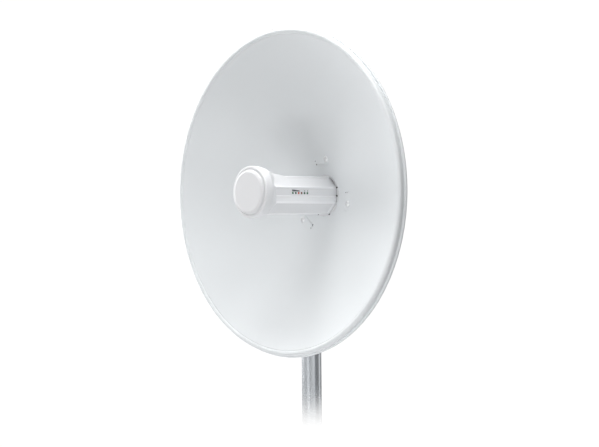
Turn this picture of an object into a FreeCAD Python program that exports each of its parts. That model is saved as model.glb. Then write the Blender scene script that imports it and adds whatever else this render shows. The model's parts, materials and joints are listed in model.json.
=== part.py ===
import FreeCAD, Part
import math
import os

# Outdoor wireless bridge: a 650 mm parabolic reflector with the radio inside its feed,
# held on a mast by an offset bracket that tilts the whole dish.
# Millimetres.  Origin on the mast's axis at the middle of the clamp, +Z up along the mast,
# the dish looks along -Y, +X is to the right for a person facing the dish.

# ---- mast and clamp ----
mast_r = 21.2             # 42.4 mm pipe
jaw_low = 16.0            # each jaw, measured up or down from the middle
jaw_high = 42.0
jaw_half_width = 43.0
jaw_near = 8.0            # jaw face beside the mast's widest line
jaw_far = 33.0
clamp_bolt_x = 34.0
clamp_bolt_r = 4.0
clamp_bolt_end = 95.0
plate = 3.0               # bracket steel
face_half_height = 70.0
face_left = -46.0

# ---- tilt joint between the two brackets ----
pivot_y = -12.0
lock_radius = 58.0
tilt_range = 20.0
side_gap = 0.2
side_x = 49.8             # outer face of the mast bracket's side plate
tilt_bolt_r = 4.0
running = 0.05            # radial clearance of the pivot

# ---- reflector ----
dish_x = 128.0
vertex_y = -80.0
focal = 197.65
sheet = 1.2
bowl_r = 313.0            # edge of the true paraboloid
lip_r = 5.0               # rolled lip
flange_end = 13.5         # bead centre behind the lip's crest
bead_r = 2.9
bead_centre_r = 322.1
hole_r = 42.0
pad_radius = 71.5
pad_length = 38.0
pad_width = 16.5
pad_depth = 4.2
pad_angles = (91.5, 229.0, 349.5)
bolt_radius = 74.5
bolt_lags = (9.3, 9.3, 3.3)   # degrees from each pad's middle to its bolt, clockwise
m6_r = 3.0

# ---- brackets behind the reflector ----
bracket_front = -70.0
bracket_back = bracket_front + plate
bracket_r = 88.0
collar_r = 46.0

# ---- feed: an octagonal tube whose centre lies a little below the dish's axis ----
tip_y = -287.0
feed_drop = 5.5
upper_flats = 72.6
lower_flats = 73.4
wall = 2.2
corner_r = 2.5
parting_z = -6.5
shell_start = 33.0        # distances behind the tip
ring_r = 50.0
ring_front = 5.0
ring_back = 20.0
shoulder_end = 41.0
ramp_start = 54.0
ramp_end = 86.0
ramp_rise = 4.9
cap_r = 43.5
shell_end_y = -33.7
spigot_end_y = -20.0
spigot_flats = 68.2
door_end_y = 12.0
board_z = -11.5
board_t = 1.6
led_count = 6
led_pitch = 7.75
led_first_y = -202.0
led_z = -2.0

# ---- feed socket and release latch ----
socket_front = -83.5
socket_back = -34.0
socket_r = 41.7
socket_mouth_r = 39.9
socket_flats = 74.0
mouth_depth = 2.0
relief_angles = (22.5, 157.5, 182.0, 247.5, 292.5, 358.0)
relief_r = 1.7
relief_depth = 9.0
socket_tail_r = 44.0
socket_flange_r = 58.0
socket_screw_r = 52.0
latch_y = -48.0
latch_travel = 3.0
spring_low = 12.15
spring_height = 11.7
spring_r = 4.0
spring_wire = 0.55

X_AXIS = FreeCAD.Vector(1, 0, 0)
Y_AXIS = FreeCAD.Vector(0, 1, 0)
Z_AXIS = FreeCAD.Vector(0, 0, 1)


# ---------------------------------------------------------------- helpers
def vec(x, y, z):
    return FreeCAD.Vector(x, y, z)


def block(x_low, x_high, y_low, y_high, z_low, z_high):
    size = (x_high - x_low, y_high - y_low, z_high - z_low)
    return Part.makeBox(*size, vec(x_low, y_low, z_low))


def rod(radius, start, end):
    """Round bar from one point to another."""
    span = end - start
    return Part.makeCylinder(radius, span.Length, start, span)


def pipe(outer, inner, start, end):
    return rod(outer, start, end).cut(rod(inner, start, end))


def prism(corners, along):
    """Straight-sided solid: a closed outline pushed along a vector."""
    outline = Part.makePolygon(corners + corners[:1])
    return Part.Face(outline).extrude(along)


def hexagon(across_flats, start, along):
    """Hexagonal prism standing at start and pointing along a vector."""
    corner = across_flats / math.sqrt(3.0)
    angles = [math.radians(60 * i + 30) for i in range(6)]
    corners = [vec(corner * math.cos(a), corner * math.sin(a), 0) for a in angles]
    solid = prism(corners, Z_AXIS * along.Length)
    solid.Placement = FreeCAD.Placement(start, FreeCAD.Rotation(Z_AXIS, along))
    return solid


def hex_nut(across_flats, bore, start, along):
    nut = hexagon(across_flats, start, along)
    return nut.cut(rod(bore, start, start + along))


def fuse(shapes):
    return shapes[0].multiFuse(shapes[1:]).removeSplitter()


def spin(edges, x=0.0, z=0.0):
    """Solid of revolution about a line parallel to Y through (x, z)."""
    face = Part.Face(Part.Wire(edges))
    solid = face.revolve(vec(0, 0, 0), Y_AXIS, 360)
    solid.translate(vec(x, 0, z))
    return solid


def line(start, end):
    return Part.makeLine(vec(start[0], start[1], 0), vec(end[0], end[1], 0))


def bend(start, middle, end):
    points = [vec(p[0], p[1], 0) for p in (start, middle, end)]
    return Part.Arc(*points).toShape()


def spin_outline(points, x=0.0, z=0.0):
    """Revolve a straight-sided outline given as (radius, y) corners."""
    closed = points + points[:1]
    return spin([line(a, b) for a, b in zip(closed, closed[1:])], x, z)


def octagon(across_flats, y_low, y_high, rounding=corner_r):
    """Octagonal bar on the feed's own axis, with softened corners."""
    corner = across_flats / 2 / math.cos(math.pi / 8)
    angles = [math.radians(22.5 + 45 * i) for i in range(8)]
    corners = [vec(dish_x + corner * math.cos(a), y_low, corner * math.sin(a) - feed_drop)
               for a in angles]
    bar = prism(corners, Y_AXIS * (y_high - y_low))
    if rounding:
        long_edges = [e for e in bar.Edges if abs(e.tangentAt(e.FirstParameter).y) > 0.9]
        bar = bar.makeFillet(rounding, long_edges)
    return bar


def polar(radius, degrees, y):
    """Point on a circle round the feed's axis, counted from +X towards +Z."""
    angle = math.radians(degrees)
    return vec(dish_x + radius * math.cos(angle), y, radius * math.sin(angle) - feed_drop)


def save(name, shape):
    solids = shape.Solids
    result = solids[0] if len(solids) == 1 else Part.makeCompound(solids)
    result.exportStep("parts/" + name + ".step")


# ---------------------------------------------------------------- reflector
def parabola(apex_y, focus, r_end):
    """Exact parabola y = apex_y - r*r / (4 focus) from the axis to r_end."""
    end_y = apex_y - r_end ** 2 / (4 * focus)
    curve = Part.BezierCurve()
    curve.setPoles([vec(0, apex_y, 0), vec(r_end / 2, apex_y, 0), vec(r_end, end_y, 0)])
    return curve.toShape()


def back_focus(r_end, end_y, apex_y):
    return r_end ** 2 / (4 * (apex_y - end_y))


lip_angle = math.atan(bowl_r / (2 * focal))
bowl_edge_y = vertex_y - bowl_r ** 2 / (4 * focal)
lip_centre_r = bowl_r + lip_r * math.sin(lip_angle)
lip_centre_y = bowl_edge_y + lip_r * math.cos(lip_angle)
crest_y = lip_centre_y - lip_r
flange_r = lip_centre_r + lip_r
bead_y = crest_y + flange_end
back_apex_y = vertex_y + sheet
back_edge_r = bowl_r + sheet * math.sin(lip_angle)
back_edge_y = bowl_edge_y + sheet * math.cos(lip_angle)
back_focal = back_focus(back_edge_r, back_edge_y, back_apex_y)


def lip_arc(radius):
    """The rolled lip from the bowl's edge over its crest to the flange."""
    start = (lip_centre_r - radius * math.sin(lip_angle), lip_centre_y - radius * math.cos(lip_angle))
    half = (math.pi / 2 - lip_angle) / 2
    middle = (lip_centre_r + radius * math.sin(half), lip_centre_y - radius * math.cos(half))
    return bend(start, middle, (lip_centre_r + radius, lip_centre_y))


def bead_edges():
    """Outside of the rolled hem, from the flange's outer face round to its inner face."""
    outer = flange_r
    inner = flange_r - sheet
    outer_y = bead_y - math.sqrt(bead_r ** 2 - (outer - bead_centre_r) ** 2)
    inner_y = bead_y - math.sqrt(bead_r ** 2 - (inner - bead_centre_r) ** 2)
    bottom = (bead_centre_r, bead_y + bead_r)
    slant = bead_r / math.sqrt(2)
    side = (bead_centre_r - slant, bead_y + slant)
    outside = bend((outer, outer_y), (bead_centre_r + bead_r, bead_y), bottom)
    inside = bend(bottom, side, (inner, inner_y))
    return [line((outer, lip_centre_y), (outer, outer_y)), outside, inside,
            line((inner, inner_y), (inner, lip_centre_y))]


def pad_front(angle):
    """Height of a pad's flat face: level with the bowl at the pad's outermost corner."""
    centre = polar(pad_radius, angle, 0)
    middle = math.hypot(centre.x - dish_x, centre.z)
    corner = math.hypot(middle + pad_width / 2, (pad_length - pad_width) / 2)
    return vertex_y - corner ** 2 / (4 * focal) - 0.2


def obround(length, width, angle, y_low, y_high):
    """Flat pad with round ends lying across the radius at pad_radius."""
    half = (length - width) / 2
    centre = polar(pad_radius, angle, y_low)
    turn = math.radians(angle)
    across = vec(-math.sin(turn), 0, math.cos(turn)) * half
    out = vec(math.cos(turn), 0, math.sin(turn)) * (width / 2)
    rise = Y_AXIS * (y_high - y_low)
    ends = [centre + across, centre - across]
    corners = [ends[0] + out, ends[1] + out, ends[1] - out, ends[0] - out]
    return fuse([prism(corners, rise)] + [rod(width / 2, end, end + rise) for end in ends])


def pad_bolt(angle, y):
    lag = bolt_lags[pad_angles.index(angle)]
    return polar(bolt_radius, angle - lag, y)


def make_reflector():
    edges = [parabola(vertex_y, focal, bowl_r), lip_arc(lip_r)] + bead_edges()
    edges += [lip_arc(lip_r - sheet), parabola(back_apex_y, back_focal, back_edge_r)]
    edges += [line((0, back_apex_y), (0, vertex_y))]
    dish = spin(Part.__sortEdges__(edges), dish_x)
    pads = []
    for angle in pad_angles:
        face_y = pad_front(angle)
        pad = obround(pad_length, pad_width, angle, face_y, face_y + pad_depth)
        front = [e for e in pad.Edges if e.BoundBox.YMax < face_y + 0.01]
        pads.append(pad.makeFillet(1.0, front))
    dish = fuse([dish] + pads)
    dish = dish.cut(rod(hole_r, polar(0, 0, -100), polar(0, 0, -60)))
    for angle in pad_angles:
        dish = dish.cut(rod(m6_r + 0.2, pad_bolt(angle, -100), pad_bolt(angle, -60)))
    return dish


def behind_bowl(gap, radius, y_back):
    """Space between the back of the sheet, less a gap, and a flat plane."""
    curve = parabola(back_apex_y + gap, back_focal, radius)
    end = curve.Vertexes[-1].Point
    edges = [curve, line((radius, end.y), (radius, y_back)), line((radius, y_back), (0, y_back)),
             line((0, y_back), (0, back_apex_y + gap))]
    return spin(edges, dish_x)


def make_backing_ring():
    """Moulded spacer that fits the curved sheet to the flat bracket, pocketed from behind."""
    outer = pipe(bracket_r, hole_r + 0.4, polar(0, 0, -110), polar(0, 0, bracket_front))
    blank = behind_bowl(0.15, 110, bracket_front)
    blank.rotate(vec(dish_x, 0, 0), Y_AXIS, 90)
    ring = blank.common(outer)
    for angle in pad_angles:
        recess_y = pad_front(angle) + pad_depth + 0.2
        ring = ring.cut(obround(pad_length + 0.6, pad_width + 0.6, angle, -110, recess_y))
    keep = []
    for i in range(12):
        rib = block(-1.5, 1.5, -110, -60, 0, bracket_r)
        rib.rotate(vec(0, 0, 0), Y_AXIS, 30 * i + 15)
        rib.translate(polar(0, 0, 0))
        keep.append(rib)
    keep += [rod(9.0, pad_bolt(angle, -110), pad_bolt(angle, -60)) for angle in pad_angles]
    hollow = pipe(bracket_r - 4, hole_r + 5, polar(0, 0, -79.5), polar(0, 0, -60))
    ring = ring.cut(hollow.cut(fuse(keep)))
    for angle in pad_angles:
        ring = ring.cut(rod(m6_r + 0.3, pad_bolt(angle, -110), pad_bolt(angle, -60)))
    return ring


def make_reflector_bolts():
    bolts = []
    for angle in pad_angles:
        base = pad_bolt(angle, pad_front(angle))
        dome = Part.makeSphere(8.0, base + Y_AXIS * 5.2)
        head = dome.common(rod(6.25, base - Y_AXIS * 6, base))
        shank = rod(m6_r, base - Y_AXIS * 1, pad_bolt(angle, bracket_back + 13))
        bolts.append(fuse([head, shank]))
    return Part.makeCompound(bolts)


def make_reflector_nuts():
    nuts = []
    for angle in pad_angles:
        base = pad_bolt(angle, bracket_back)
        washer = pipe(7.0, m6_r, base, base + Y_AXIS * 1.4)
        nuts.append(fuse([washer, hex_nut(10.0, m6_r, base + Y_AXIS * 1.4, Y_AXIS * 5.2)]))
    return Part.makeCompound(nuts)


# ---------------------------------------------------------------- dish bracket
def side_disc(radius, x_low, x_high, y=pivot_y, z=0.0):
    return rod(radius, vec(x_low, y, z), vec(x_high, y, z))


def arc_slot(x_low, x_high, centre_angle):
    """Curved slot for a lock bolt, centred on the pivot."""
    half_width = tilt_bolt_r + 0.3
    band = side_disc(lock_radius + half_width, x_low, x_high)
    band = band.cut(side_disc(lock_radius - half_width, x_low, x_high))
    reach = math.radians(tilt_range + 0.4)
    far = 2 * lock_radius
    wedge = prism([vec(x_low, pivot_y, 0),
                   vec(x_low, pivot_y - far * math.sin(reach), far * math.cos(reach)),
                   vec(x_low, pivot_y + far * math.sin(reach), far * math.cos(reach))],
                  X_AXIS * (x_high - x_low))
    ends = [side_disc(half_width, x_low, x_high, pivot_y + side * lock_radius * math.sin(reach),
                      lock_radius * math.cos(reach)) for side in (-1, 1)]
    slot = fuse([band.common(wedge)] + ends)
    slot.rotate(vec(0, pivot_y, 0), X_AXIS, centre_angle)
    return slot


def make_dish_bracket():
    """Round plate behind the spacer, folded back along the mast side into the tilt flange."""
    fold_x = side_x + side_gap
    disc = rod(bracket_r, polar(0, 0, bracket_front), polar(0, 0, bracket_back))
    web = block(fold_x, dish_x, bracket_front, bracket_back, -72, 72)
    face = fuse([disc, web]).common(block(fold_x, 300, -80, -60, -200, 200))
    flange = block(fold_x, fold_x + plate, bracket_front, 16, -72, 72)
    corners = [e for e in flange.Edges if e.BoundBox.XLength > 1 and e.BoundBox.YMin > 10]
    flange = flange.makeFillet(14, corners)
    gussets = []
    for z in (-64.0, 61.0):
        outline = [vec(fold_x + 1, bracket_back - 1, z), vec(fold_x + 26, bracket_back - 1, z),
                   vec(fold_x + 26, bracket_back + 2, z), vec(fold_x + 4, bracket_back + 22, z),
                   vec(fold_x + 1, bracket_back + 22, z)]
        gussets.append(prism(outline, Z_AXIS * plate))
    bracket = fuse([face, flange] + gussets)
    bracket = bracket.cut(rod(collar_r, polar(0, 0, -80), polar(0, 0, -60)))
    for angle in pad_angles:
        bracket = bracket.cut(rod(m6_r + 0.3, pad_bolt(angle, -80), pad_bolt(angle, -60)))
        screw = polar(socket_screw_r, angle + 60, 0)
        bracket = bracket.cut(rod(2.0, screw + Y_AXIS * -80, screw + Y_AXIS * -60))
    bracket = bracket.cut(side_disc(tilt_bolt_r + running, fold_x - 1, fold_x + 4))
    for centre_angle in (0, 180):
        bracket = bracket.cut(arc_slot(fold_x - 1, fold_x + 4, centre_angle))
    return bracket


def make_tilt_scale():
    """Thin plate of raised angle marks beside the upper slot."""
    outer = lock_radius + 12
    inner = lock_radius + 8
    x_low = side_x + side_gap + plate
    wedge = prism([vec(x_low, pivot_y, 0), vec(x_low, pivot_y - 60, 120), vec(x_low, pivot_y + 60, 120)],
                  X_AXIS)
    band = side_disc(outer, x_low, x_low + 0.5).cut(side_disc(inner, x_low, x_low + 0.5))
    marks = [band.common(wedge)]
    for step in range(-4, 5):
        mark = block(x_low, x_low + 0.9, pivot_y - 0.4, pivot_y + 0.4, inner + 0.3, outer - 0.3)
        mark.rotate(vec(0, pivot_y, 0), X_AXIS, 5 * step)
        marks.append(mark)
    plate_shape = fuse(marks)
    return plate_shape.common(block(x_low, x_low + 1, -60, 16, 0, 71.5))


# ---------------------------------------------------------------- mast bracket and clamp
def bolt_places():
    """Clamp bolt centres as (x, z)."""
    z = (jaw_low + jaw_high) / 2
    return [(x, side * z) for x in (-clamp_bolt_x, clamp_bolt_x) for side in (1, -1)]


def make_mast_bracket():
    """Face plate in front of the mast with a folded side plate and a stiffening lip."""
    front = -jaw_far - plate
    face = block(face_left, side_x, front, -jaw_far, -face_half_height, face_half_height)
    side = block(side_x - plate, side_x, front, 12, -face_half_height, face_half_height)
    corners = [e for e in side.Edges if e.BoundBox.XLength > 1 and e.BoundBox.YMin > 10]
    side = side.makeFillet(12, corners)
    lip = block(face_left, face_left + plate, front, -20, -face_half_height, face_half_height)
    bracket = fuse([face, side, lip])
    for x, z in bolt_places():
        bracket = bracket.cut(rod(clamp_bolt_r + 0.2, vec(x, -50, z), vec(x, -20, z)))
    bracket = bracket.cut(side_disc(tilt_bolt_r + running, 40, 60))
    for z in (-lock_radius, lock_radius):
        bracket = bracket.cut(side_disc(tilt_bolt_r + 0.2, 40, 60, pivot_y, z))
    window = block(-14, 14, -50, -20, -9, 9)
    long_edges = [e for e in window.Edges if e.BoundBox.YLength > 1]
    bracket = bracket.cut(window.makeFillet(4, long_edges))
    return bracket.cut(rod(2.6, vec(-30, -50, -60), vec(-30, -20, -60)))


def jaw_outline(side):
    """Half of a jaw pair in plan; side is -1 in front of the mast and 1 behind it."""
    near = side * jaw_near
    far = side * jaw_far
    edge = side * (jaw_near + 5)
    return [vec(-jaw_half_width, edge, 0), vec(-jaw_half_width + 8, near, 0),
            vec(jaw_half_width - 8, near, 0), vec(jaw_half_width, edge, 0),
            vec(jaw_half_width, side * (jaw_far - 5), 0), vec(jaw_half_width - 5, far, 0),
            vec(-jaw_half_width + 5, far, 0), vec(-jaw_half_width, side * (jaw_far - 5), 0)]


def make_jaw(side, up):
    """Cast jaw with a grooved seat for the mast, bored for its two bolts."""
    jaw = prism(jaw_outline(side), Z_AXIS * (jaw_high - jaw_low))
    seat = rod(mast_r, vec(0, 0, -1), vec(0, 0, jaw_high))
    jaw = jaw.cut(seat)
    for angle in (-50, -25, 0, 25, 50):
        turn = math.radians(angle)
        place = vec(mast_r * math.sin(turn), side * mast_r * math.cos(turn), -1)
        jaw = jaw.cut(rod(0.9, place, place + Z_AXIS * jaw_high))
    for x in (-clamp_bolt_x, clamp_bolt_x):
        middle = (jaw_high - jaw_low) / 2
        jaw = jaw.cut(rod(clamp_bolt_r + 0.3, vec(x, -50, middle), vec(x, 50, middle)))
    if side > 0:
        for x in (-15, 15):
            pocket = block(x - 8, x + 8, jaw_far - 6, jaw_far + 1, 4, jaw_high - jaw_low - 4)
            jaw = jaw.cut(pocket)
    jaw.translate(vec(0, 0, jaw_low if up else -jaw_high))
    return jaw


def make_clamp_bolts():
    front = -jaw_far - plate
    bolts = []
    for x, z in bolt_places():
        shank = rod(clamp_bolt_r, vec(x, front - 1, z), vec(x, clamp_bolt_end, z))
        head = hexagon(13.0, vec(x, front, z), Y_AXIS * -5.3)
        bolts.append(fuse([head, shank]))
    return Part.makeCompound(bolts)


def clamp_set(up, make_one):
    """One washer or nut for each bolt of the upper or the lower jaw."""
    places = [(x, z) for x, z in bolt_places() if (z > 0) == up]
    return Part.makeCompound([make_one(x, z) for x, z in places])


def make_clamp_washer(x, z):
    return pipe(8.0, clamp_bolt_r + 0.2, vec(x, jaw_far, z), vec(x, jaw_far + 1.8, z))


def make_clamp_nut(x, z):
    return hex_nut(13.0, clamp_bolt_r + running, vec(x, jaw_far + 1.8, z), Y_AXIS * 6.5)


# ---------------------------------------------------------------- tilt bolts
def tilt_bolt(z, end_x):
    inside = side_x - plate
    shank = side_disc(tilt_bolt_r, inside - 1, end_x, pivot_y, z)
    head = hexagon(13.0, vec(inside, pivot_y, z), X_AXIS * -5.3)
    return fuse([head, shank])


def tilt_washer(z):
    start = side_x + side_gap + plate + 0.15
    ring = side_disc(8.0, start, start + 1.6, pivot_y, z)
    return ring.cut(side_disc(tilt_bolt_r + 0.2, start - 1, start + 3, pivot_y, z))


def tilt_nut(z):
    start = side_x + side_gap + plate + 1.75
    return hex_nut(13.0, tilt_bolt_r, vec(start, pivot_y, z), X_AXIS * 6.5)


def make_ground_screw():
    front = -jaw_far - plate
    head = hexagon(8.0, vec(-30, front - 1.2, -60), Y_AXIS * -4)
    washer = rod(5.5, vec(-30, front, -60), vec(-30, front - 1.2, -60))
    shank = rod(2.5, vec(-30, front - 1, -60), vec(-30, -jaw_far + 8, -60))
    return fuse([head, washer, shank])


# ---------------------------------------------------------------- feed socket and latch
def mouth_pocket(middle):
    """Deeper part of the mouth beside one upper facet of the tube."""
    round_bar = rod(socket_mouth_r, polar(0, 0, -100), polar(0, 0, bracket_front))
    sides = [polar(0, 0, -100), polar(80, middle - 22.5, -100), polar(80, middle + 22.5, -100)]
    return round_bar.common(prism(sides, Y_AXIS * 60))


def relief_radius(angle):
    """Distance of a relief notch from the feed's axis: on the octagonal seat's outline."""
    from_facet = math.radians((angle + 22.5) % 45 - 22.5)
    return socket_flats / 2 / math.cos(from_facet)


def make_feed_socket():
    """Sleeve through the reflector and bracket with an octagonal seat for the feed."""
    sleeve = rod(socket_r, polar(0, 0, socket_front), polar(0, 0, bracket_front))
    collar = rod(collar_r - 0.3, polar(0, 0, bracket_front), polar(0, 0, bracket_back))
    flange = rod(socket_flange_r, polar(0, 0, bracket_back), polar(0, 0, bracket_back + 4))
    tail = rod(socket_tail_r, polar(0, 0, bracket_back), polar(0, 0, socket_back))
    housing = block(dish_x - 11.5, dish_x + 11.5, latch_y - 12.5, latch_y + 12.5, 30, 45.3)
    body = fuse([sleeve, collar, flange, tail, housing])
    body = body.cut(rod(socket_mouth_r, polar(0, 0, -100), polar(0, 0, socket_front + mouth_depth)))
    body = body.cut(octagon(socket_flats, -100, 0, 0))
    for middle in (45, 135):
        body = body.cut(mouth_pocket(middle))
    for angle in relief_angles:
        relief = polar(relief_radius(angle), angle, -100)
        body = body.cut(rod(relief_r, relief, relief + Y_AXIS * (100 + socket_front + relief_depth)))
    chamber = block(dish_x - 9.2, dish_x + 9.2, latch_y - 10.2, latch_y + 10.2, 38, 43.3)
    window = block(dish_x - 7.2, dish_x + 7.2, latch_y - 8.2, latch_y + 8.2, 40, 50)
    slot = block(dish_x - 6.2, dish_x + 6.2, latch_y - 5.2, latch_y + 5.2, 28, 40)
    body = body.cut(chamber).cut(window).cut(slot)
    for angle in pad_angles:
        screw = polar(socket_screw_r, angle + 60, 0)
        body = body.cut(rod(2.1, screw + Y_AXIS * -80, screw + Y_AXIS * -60))
    return body


def make_socket_screws():
    screws = []
    for angle in pad_angles:
        head = polar(socket_screw_r, angle + 60, bracket_back + 4)
        cap = rod(3.8, head, head + Y_AXIS * 2.6)
        slot = block(head.x - 0.5, head.x + 0.5, head.y + 1.4, head.y + 3, head.z - 5, head.z + 5)
        shank = rod(1.9, polar(socket_screw_r, angle + 60, bracket_front + 0.5), head + Y_AXIS)
        screws.append(fuse([cap, shank]).cut(slot))
    return Part.makeCompound(screws)


def make_release_button():
    stem = block(dish_x - 5.7, dish_x + 5.7, latch_y - 4.7, latch_y + 4.7, 34, 42)
    flange = block(dish_x - 8.8, dish_x + 8.8, latch_y - 9.8, latch_y + 9.8, 41, 43)
    top = block(dish_x - 6.9, dish_x + 6.9, latch_y - 7.9, latch_y + 7.9, 42, 51)
    top = top.makeFillet(1.2, [e for e in top.Edges if e.BoundBox.ZMin > 50])
    return fuse([stem, flange, top])


def make_release_latch():
    """Sprung stop under the button that stands up through the feed's top."""
    stop = block(dish_x - 5.6, dish_x + 5.6, latch_y - 4.6, latch_y + 4.6, 24, 33.8)
    foot = block(dish_x - 9, dish_x + 9, latch_y - 7, latch_y + 7, 24, 26)
    return fuse([stop, foot])


def make_release_spring():
    """Envelope of the coil spring under the stop."""
    foot = vec(dish_x, latch_y, spring_low)
    return pipe(spring_r + spring_wire, spring_r - spring_wire, foot, foot + Z_AXIS * spring_height)


# ---------------------------------------------------------------- feed shells
def feed_tube(flats, z_low, z_high):
    """Hollow octagonal half between two heights, with the smaller spigot at its tail."""
    start = tip_y + shell_start
    body = octagon(flats, start, shell_end_y)
    spigot = octagon(spigot_flats, shell_end_y - 1, spigot_end_y)
    hollow = octagon(flats - 2 * wall, start - 1, shell_end_y - 3)
    tail_hollow = octagon(spigot_flats - 2 * wall, shell_end_y - 4, spigot_end_y - 3)
    tube = fuse([body, spigot]).cut(hollow).cut(tail_hollow)
    return tube.common(block(0, 300, -400, 50, z_low, z_high))


def screw_posts():
    """Shell screw places as (x, y)."""
    return [(dish_x + side * 11, y) for side in (-1, 1) for y in (-228.0, -96.0)]


def led_places():
    return [led_first_y + led_pitch * i for i in range(led_count)]


def label_block(depth):
    face_x = dish_x + upper_flats / 2
    half = led_pitch * (led_count - 1) / 2
    middle = led_first_y + half
    return block(face_x - depth, face_x + 1, middle - half - 4, middle + half + 4, -4.6, 7.4)


def tail_opening(grow):
    """Opening in the tail wall round the network jack."""
    return block(dish_x - 8.3 - grow, dish_x + 8.3 + grow, -60, 0, board_z + board_t - grow, 4.5 + grow)


def make_feed_upper_shell():
    shell = feed_tube(upper_flats, parting_z, 100)
    inside = octagon(upper_flats - 1, tip_y + shell_start, shell_end_y - 1)
    posts = [rod(3.6, vec(x, y, board_z + board_t), vec(x, y, 40)) for x, y in screw_posts()]
    shelf = block(dish_x - 40, dish_x + 40, latch_y - 9, latch_y + 9, 10, 12)
    shell = fuse([shell, fuse(posts + [shelf]).common(inside)])
    for x, y in screw_posts():
        shell = shell.cut(rod(1.4, vec(x, y, -20), vec(x, y, 8)))
    slot = block(dish_x - 5.8, dish_x + 5.8, latch_y - 4.8, latch_y + 4.8, 20, 40)
    shell = shell.cut(slot).cut(label_block(0.4)).cut(tail_opening(0))
    for y in led_places():
        shell = shell.cut(rod(1.7, vec(dish_x + 30, y, led_z), vec(dish_x + 40, y, led_z)))
    return shell.cut(rod(1.8, vec(dish_x + 16, -40, 0), vec(dish_x + 16, 0, 0)))


def make_feed_lower_shell():
    shell = feed_tube(lower_flats, -100, parting_z - 0.1)
    inside = octagon(lower_flats - 1, tip_y + shell_start, shell_end_y - 1)
    posts = [rod(3.6, vec(x, y, -60), vec(x, y, board_z)) for x, y in screw_posts()]
    posts += [rod(3.2, vec(x, y, -60), vec(x, y, board_z)) for x, y in board_screw_places()]
    shell = fuse([shell, fuse(posts).common(inside)])
    for x, y in screw_posts():
        shell = shell.cut(rod(1.7, vec(x, y, -60), vec(x, y, 0)))
        shell = shell.cut(rod(3.1, vec(x, y, -60), vec(x, y, -38)))
    for x, y in board_screw_places():
        shell = shell.cut(rod(1.2, vec(x, y, -24), vec(x, y, 0)))
    vent = rod(4.2, vec(dish_x, -160, -60), vec(dish_x, -160, -30))
    return shell.cut(vent).cut(tail_opening(0))


def board_screw_places():
    return [(dish_x + side * 25, y) for side in (-1, 1) for y in (-150.0, -70.0)]


def tube_reach(angle):
    """Distance from the dish's axis to the octagonal tube's skin, with the shroud's own lip."""
    reach = lower_flats / 2 + 0.35
    distances = []
    for i in range(8):
        facet = math.radians(45 * i)
        lean = math.cos(angle - facet)
        if lean > 0.1:
            distances.append((reach - feed_drop * math.sin(facet)) / lean)
    return min(distances)


def ease(amount):
    """Smooth step from 0 to 1."""
    amount = min(1.0, max(0.0, amount))
    return amount * amount * (3 - 2 * amount)


def section_radius(angle, t):
    """Distance from the dish's axis to the shroud's skin at one angle and station."""
    topness = ease((math.sin(angle) - 0.35) / 0.65)
    end = shoulder_end + topness * (ramp_start - shoulder_end)
    rise = topness * ramp_rise * max(0.0, (ramp_end - t) / (ramp_end - ramp_start))
    fall = ease((t - ring_back) / (end - ring_back))
    start = ring_r - 0.4
    return start + (tube_reach(angle) + rise - start) * fall


def shroud_section(t):
    """Closed outline of the shroud's skin at one distance behind the tip."""
    corners = []
    for i in range(48):
        angle = math.radians(7.5 * i)
        r = section_radius(angle, t)
        corners.append(vec(dish_x + r * math.cos(angle), tip_y + t, r * math.sin(angle)))
    return Part.makePolygon(corners + corners[:1])


def make_horn_shroud():
    """Ring round the feed's mouth with its shoulder and the long fairing on top of the tube."""
    stations = [ring_back - 1, ring_back, 24, 28, 32, 36, shoulder_end, 44, 47, 50, ramp_start, ramp_end]
    skin = Part.makeLoft([shroud_section(t) for t in stations], True, True)
    skin = skin.cut(octagon(lower_flats + 0.1, tip_y + shell_start - 0.2, 0))
    skin = skin.cut(rod(34.0, vec(dish_x, tip_y + 9, -2), vec(dish_x, tip_y + shell_start + 1, -2)))
    corner_z = upper_flats / 2 * math.tan(math.pi / 8) - feed_drop
    skin = skin.cut(block(0, 300, tip_y + shoulder_end, 0, -100, corner_z))
    front = tip_y + ring_front
    back = tip_y + ring_back
    bore = ring_r - 2.4
    lip = cap_r + 1.2
    edges = [line((lip, front), (ring_r - 3.4, front)),
             bend((ring_r - 3.4, front), (ring_r - 1.0, front + 1.1), (ring_r, front + 3.6)),
             line((ring_r, front + 3.6), (ring_r, back)), line((ring_r, back), (bore, back)),
             line((bore, back), (bore, front + 4)), line((bore, front + 4), (lip, front + 4)),
             line((lip, front + 4), (lip, front))]
    return spin(edges, dish_x).fuse(skin)


# ---------------------------------------------------------------- feed mouth
def make_feed_cap():
    """Front radome: a flat disc with a rolled edge and a skirt that snaps into the ring."""
    t = tip_y
    r = cap_r
    edges = [line((0, t), (r - 3, t)), bend((r - 3, t), (r - 0.88, t + 0.88), (r, t + 3)),
             line((r, t + 3), (r, t + 12)), line((r, t + 12), (47.3, t + 12)),
             line((47.3, t + 12), (47.3, t + 15)), line((47.3, t + 15), (r - 2, t + 15)),
             line((r - 2, t + 15), (r - 2, t + 3.4)), line((r - 2, t + 3.4), (r - 3.6, t + 2)),
             line((r - 3.6, t + 2), (0, t + 2)), line((0, t + 2), (0, t))]
    return spin(edges, dish_x)


def make_cap_gasket():
    return spin_outline([(44.9, tip_y + 9.1), (47.4, tip_y + 9.1), (47.4, tip_y + 11.9),
                         (44.9, tip_y + 11.9)], dish_x)


def make_subreflector():
    """Spun disc with a shallow cone that throws the signal back at the dish."""
    t = tip_y
    return spin_outline([(0, t + 5), (38, t + 5), (40, t + 8), (39, t + 8.6), (37.2, t + 6.2),
                         (12, t + 6.2), (0, t + 12)], dish_x)


def make_radiator_board():
    disc = rod(32.0, vec(dish_x, tip_y + 24, 0), vec(dish_x, tip_y + 25.6, 0))
    patch = block(dish_x - 11, dish_x + 11, tip_y + 23.4, tip_y + 24.2, -11, 11)
    return fuse([disc, patch])


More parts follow.
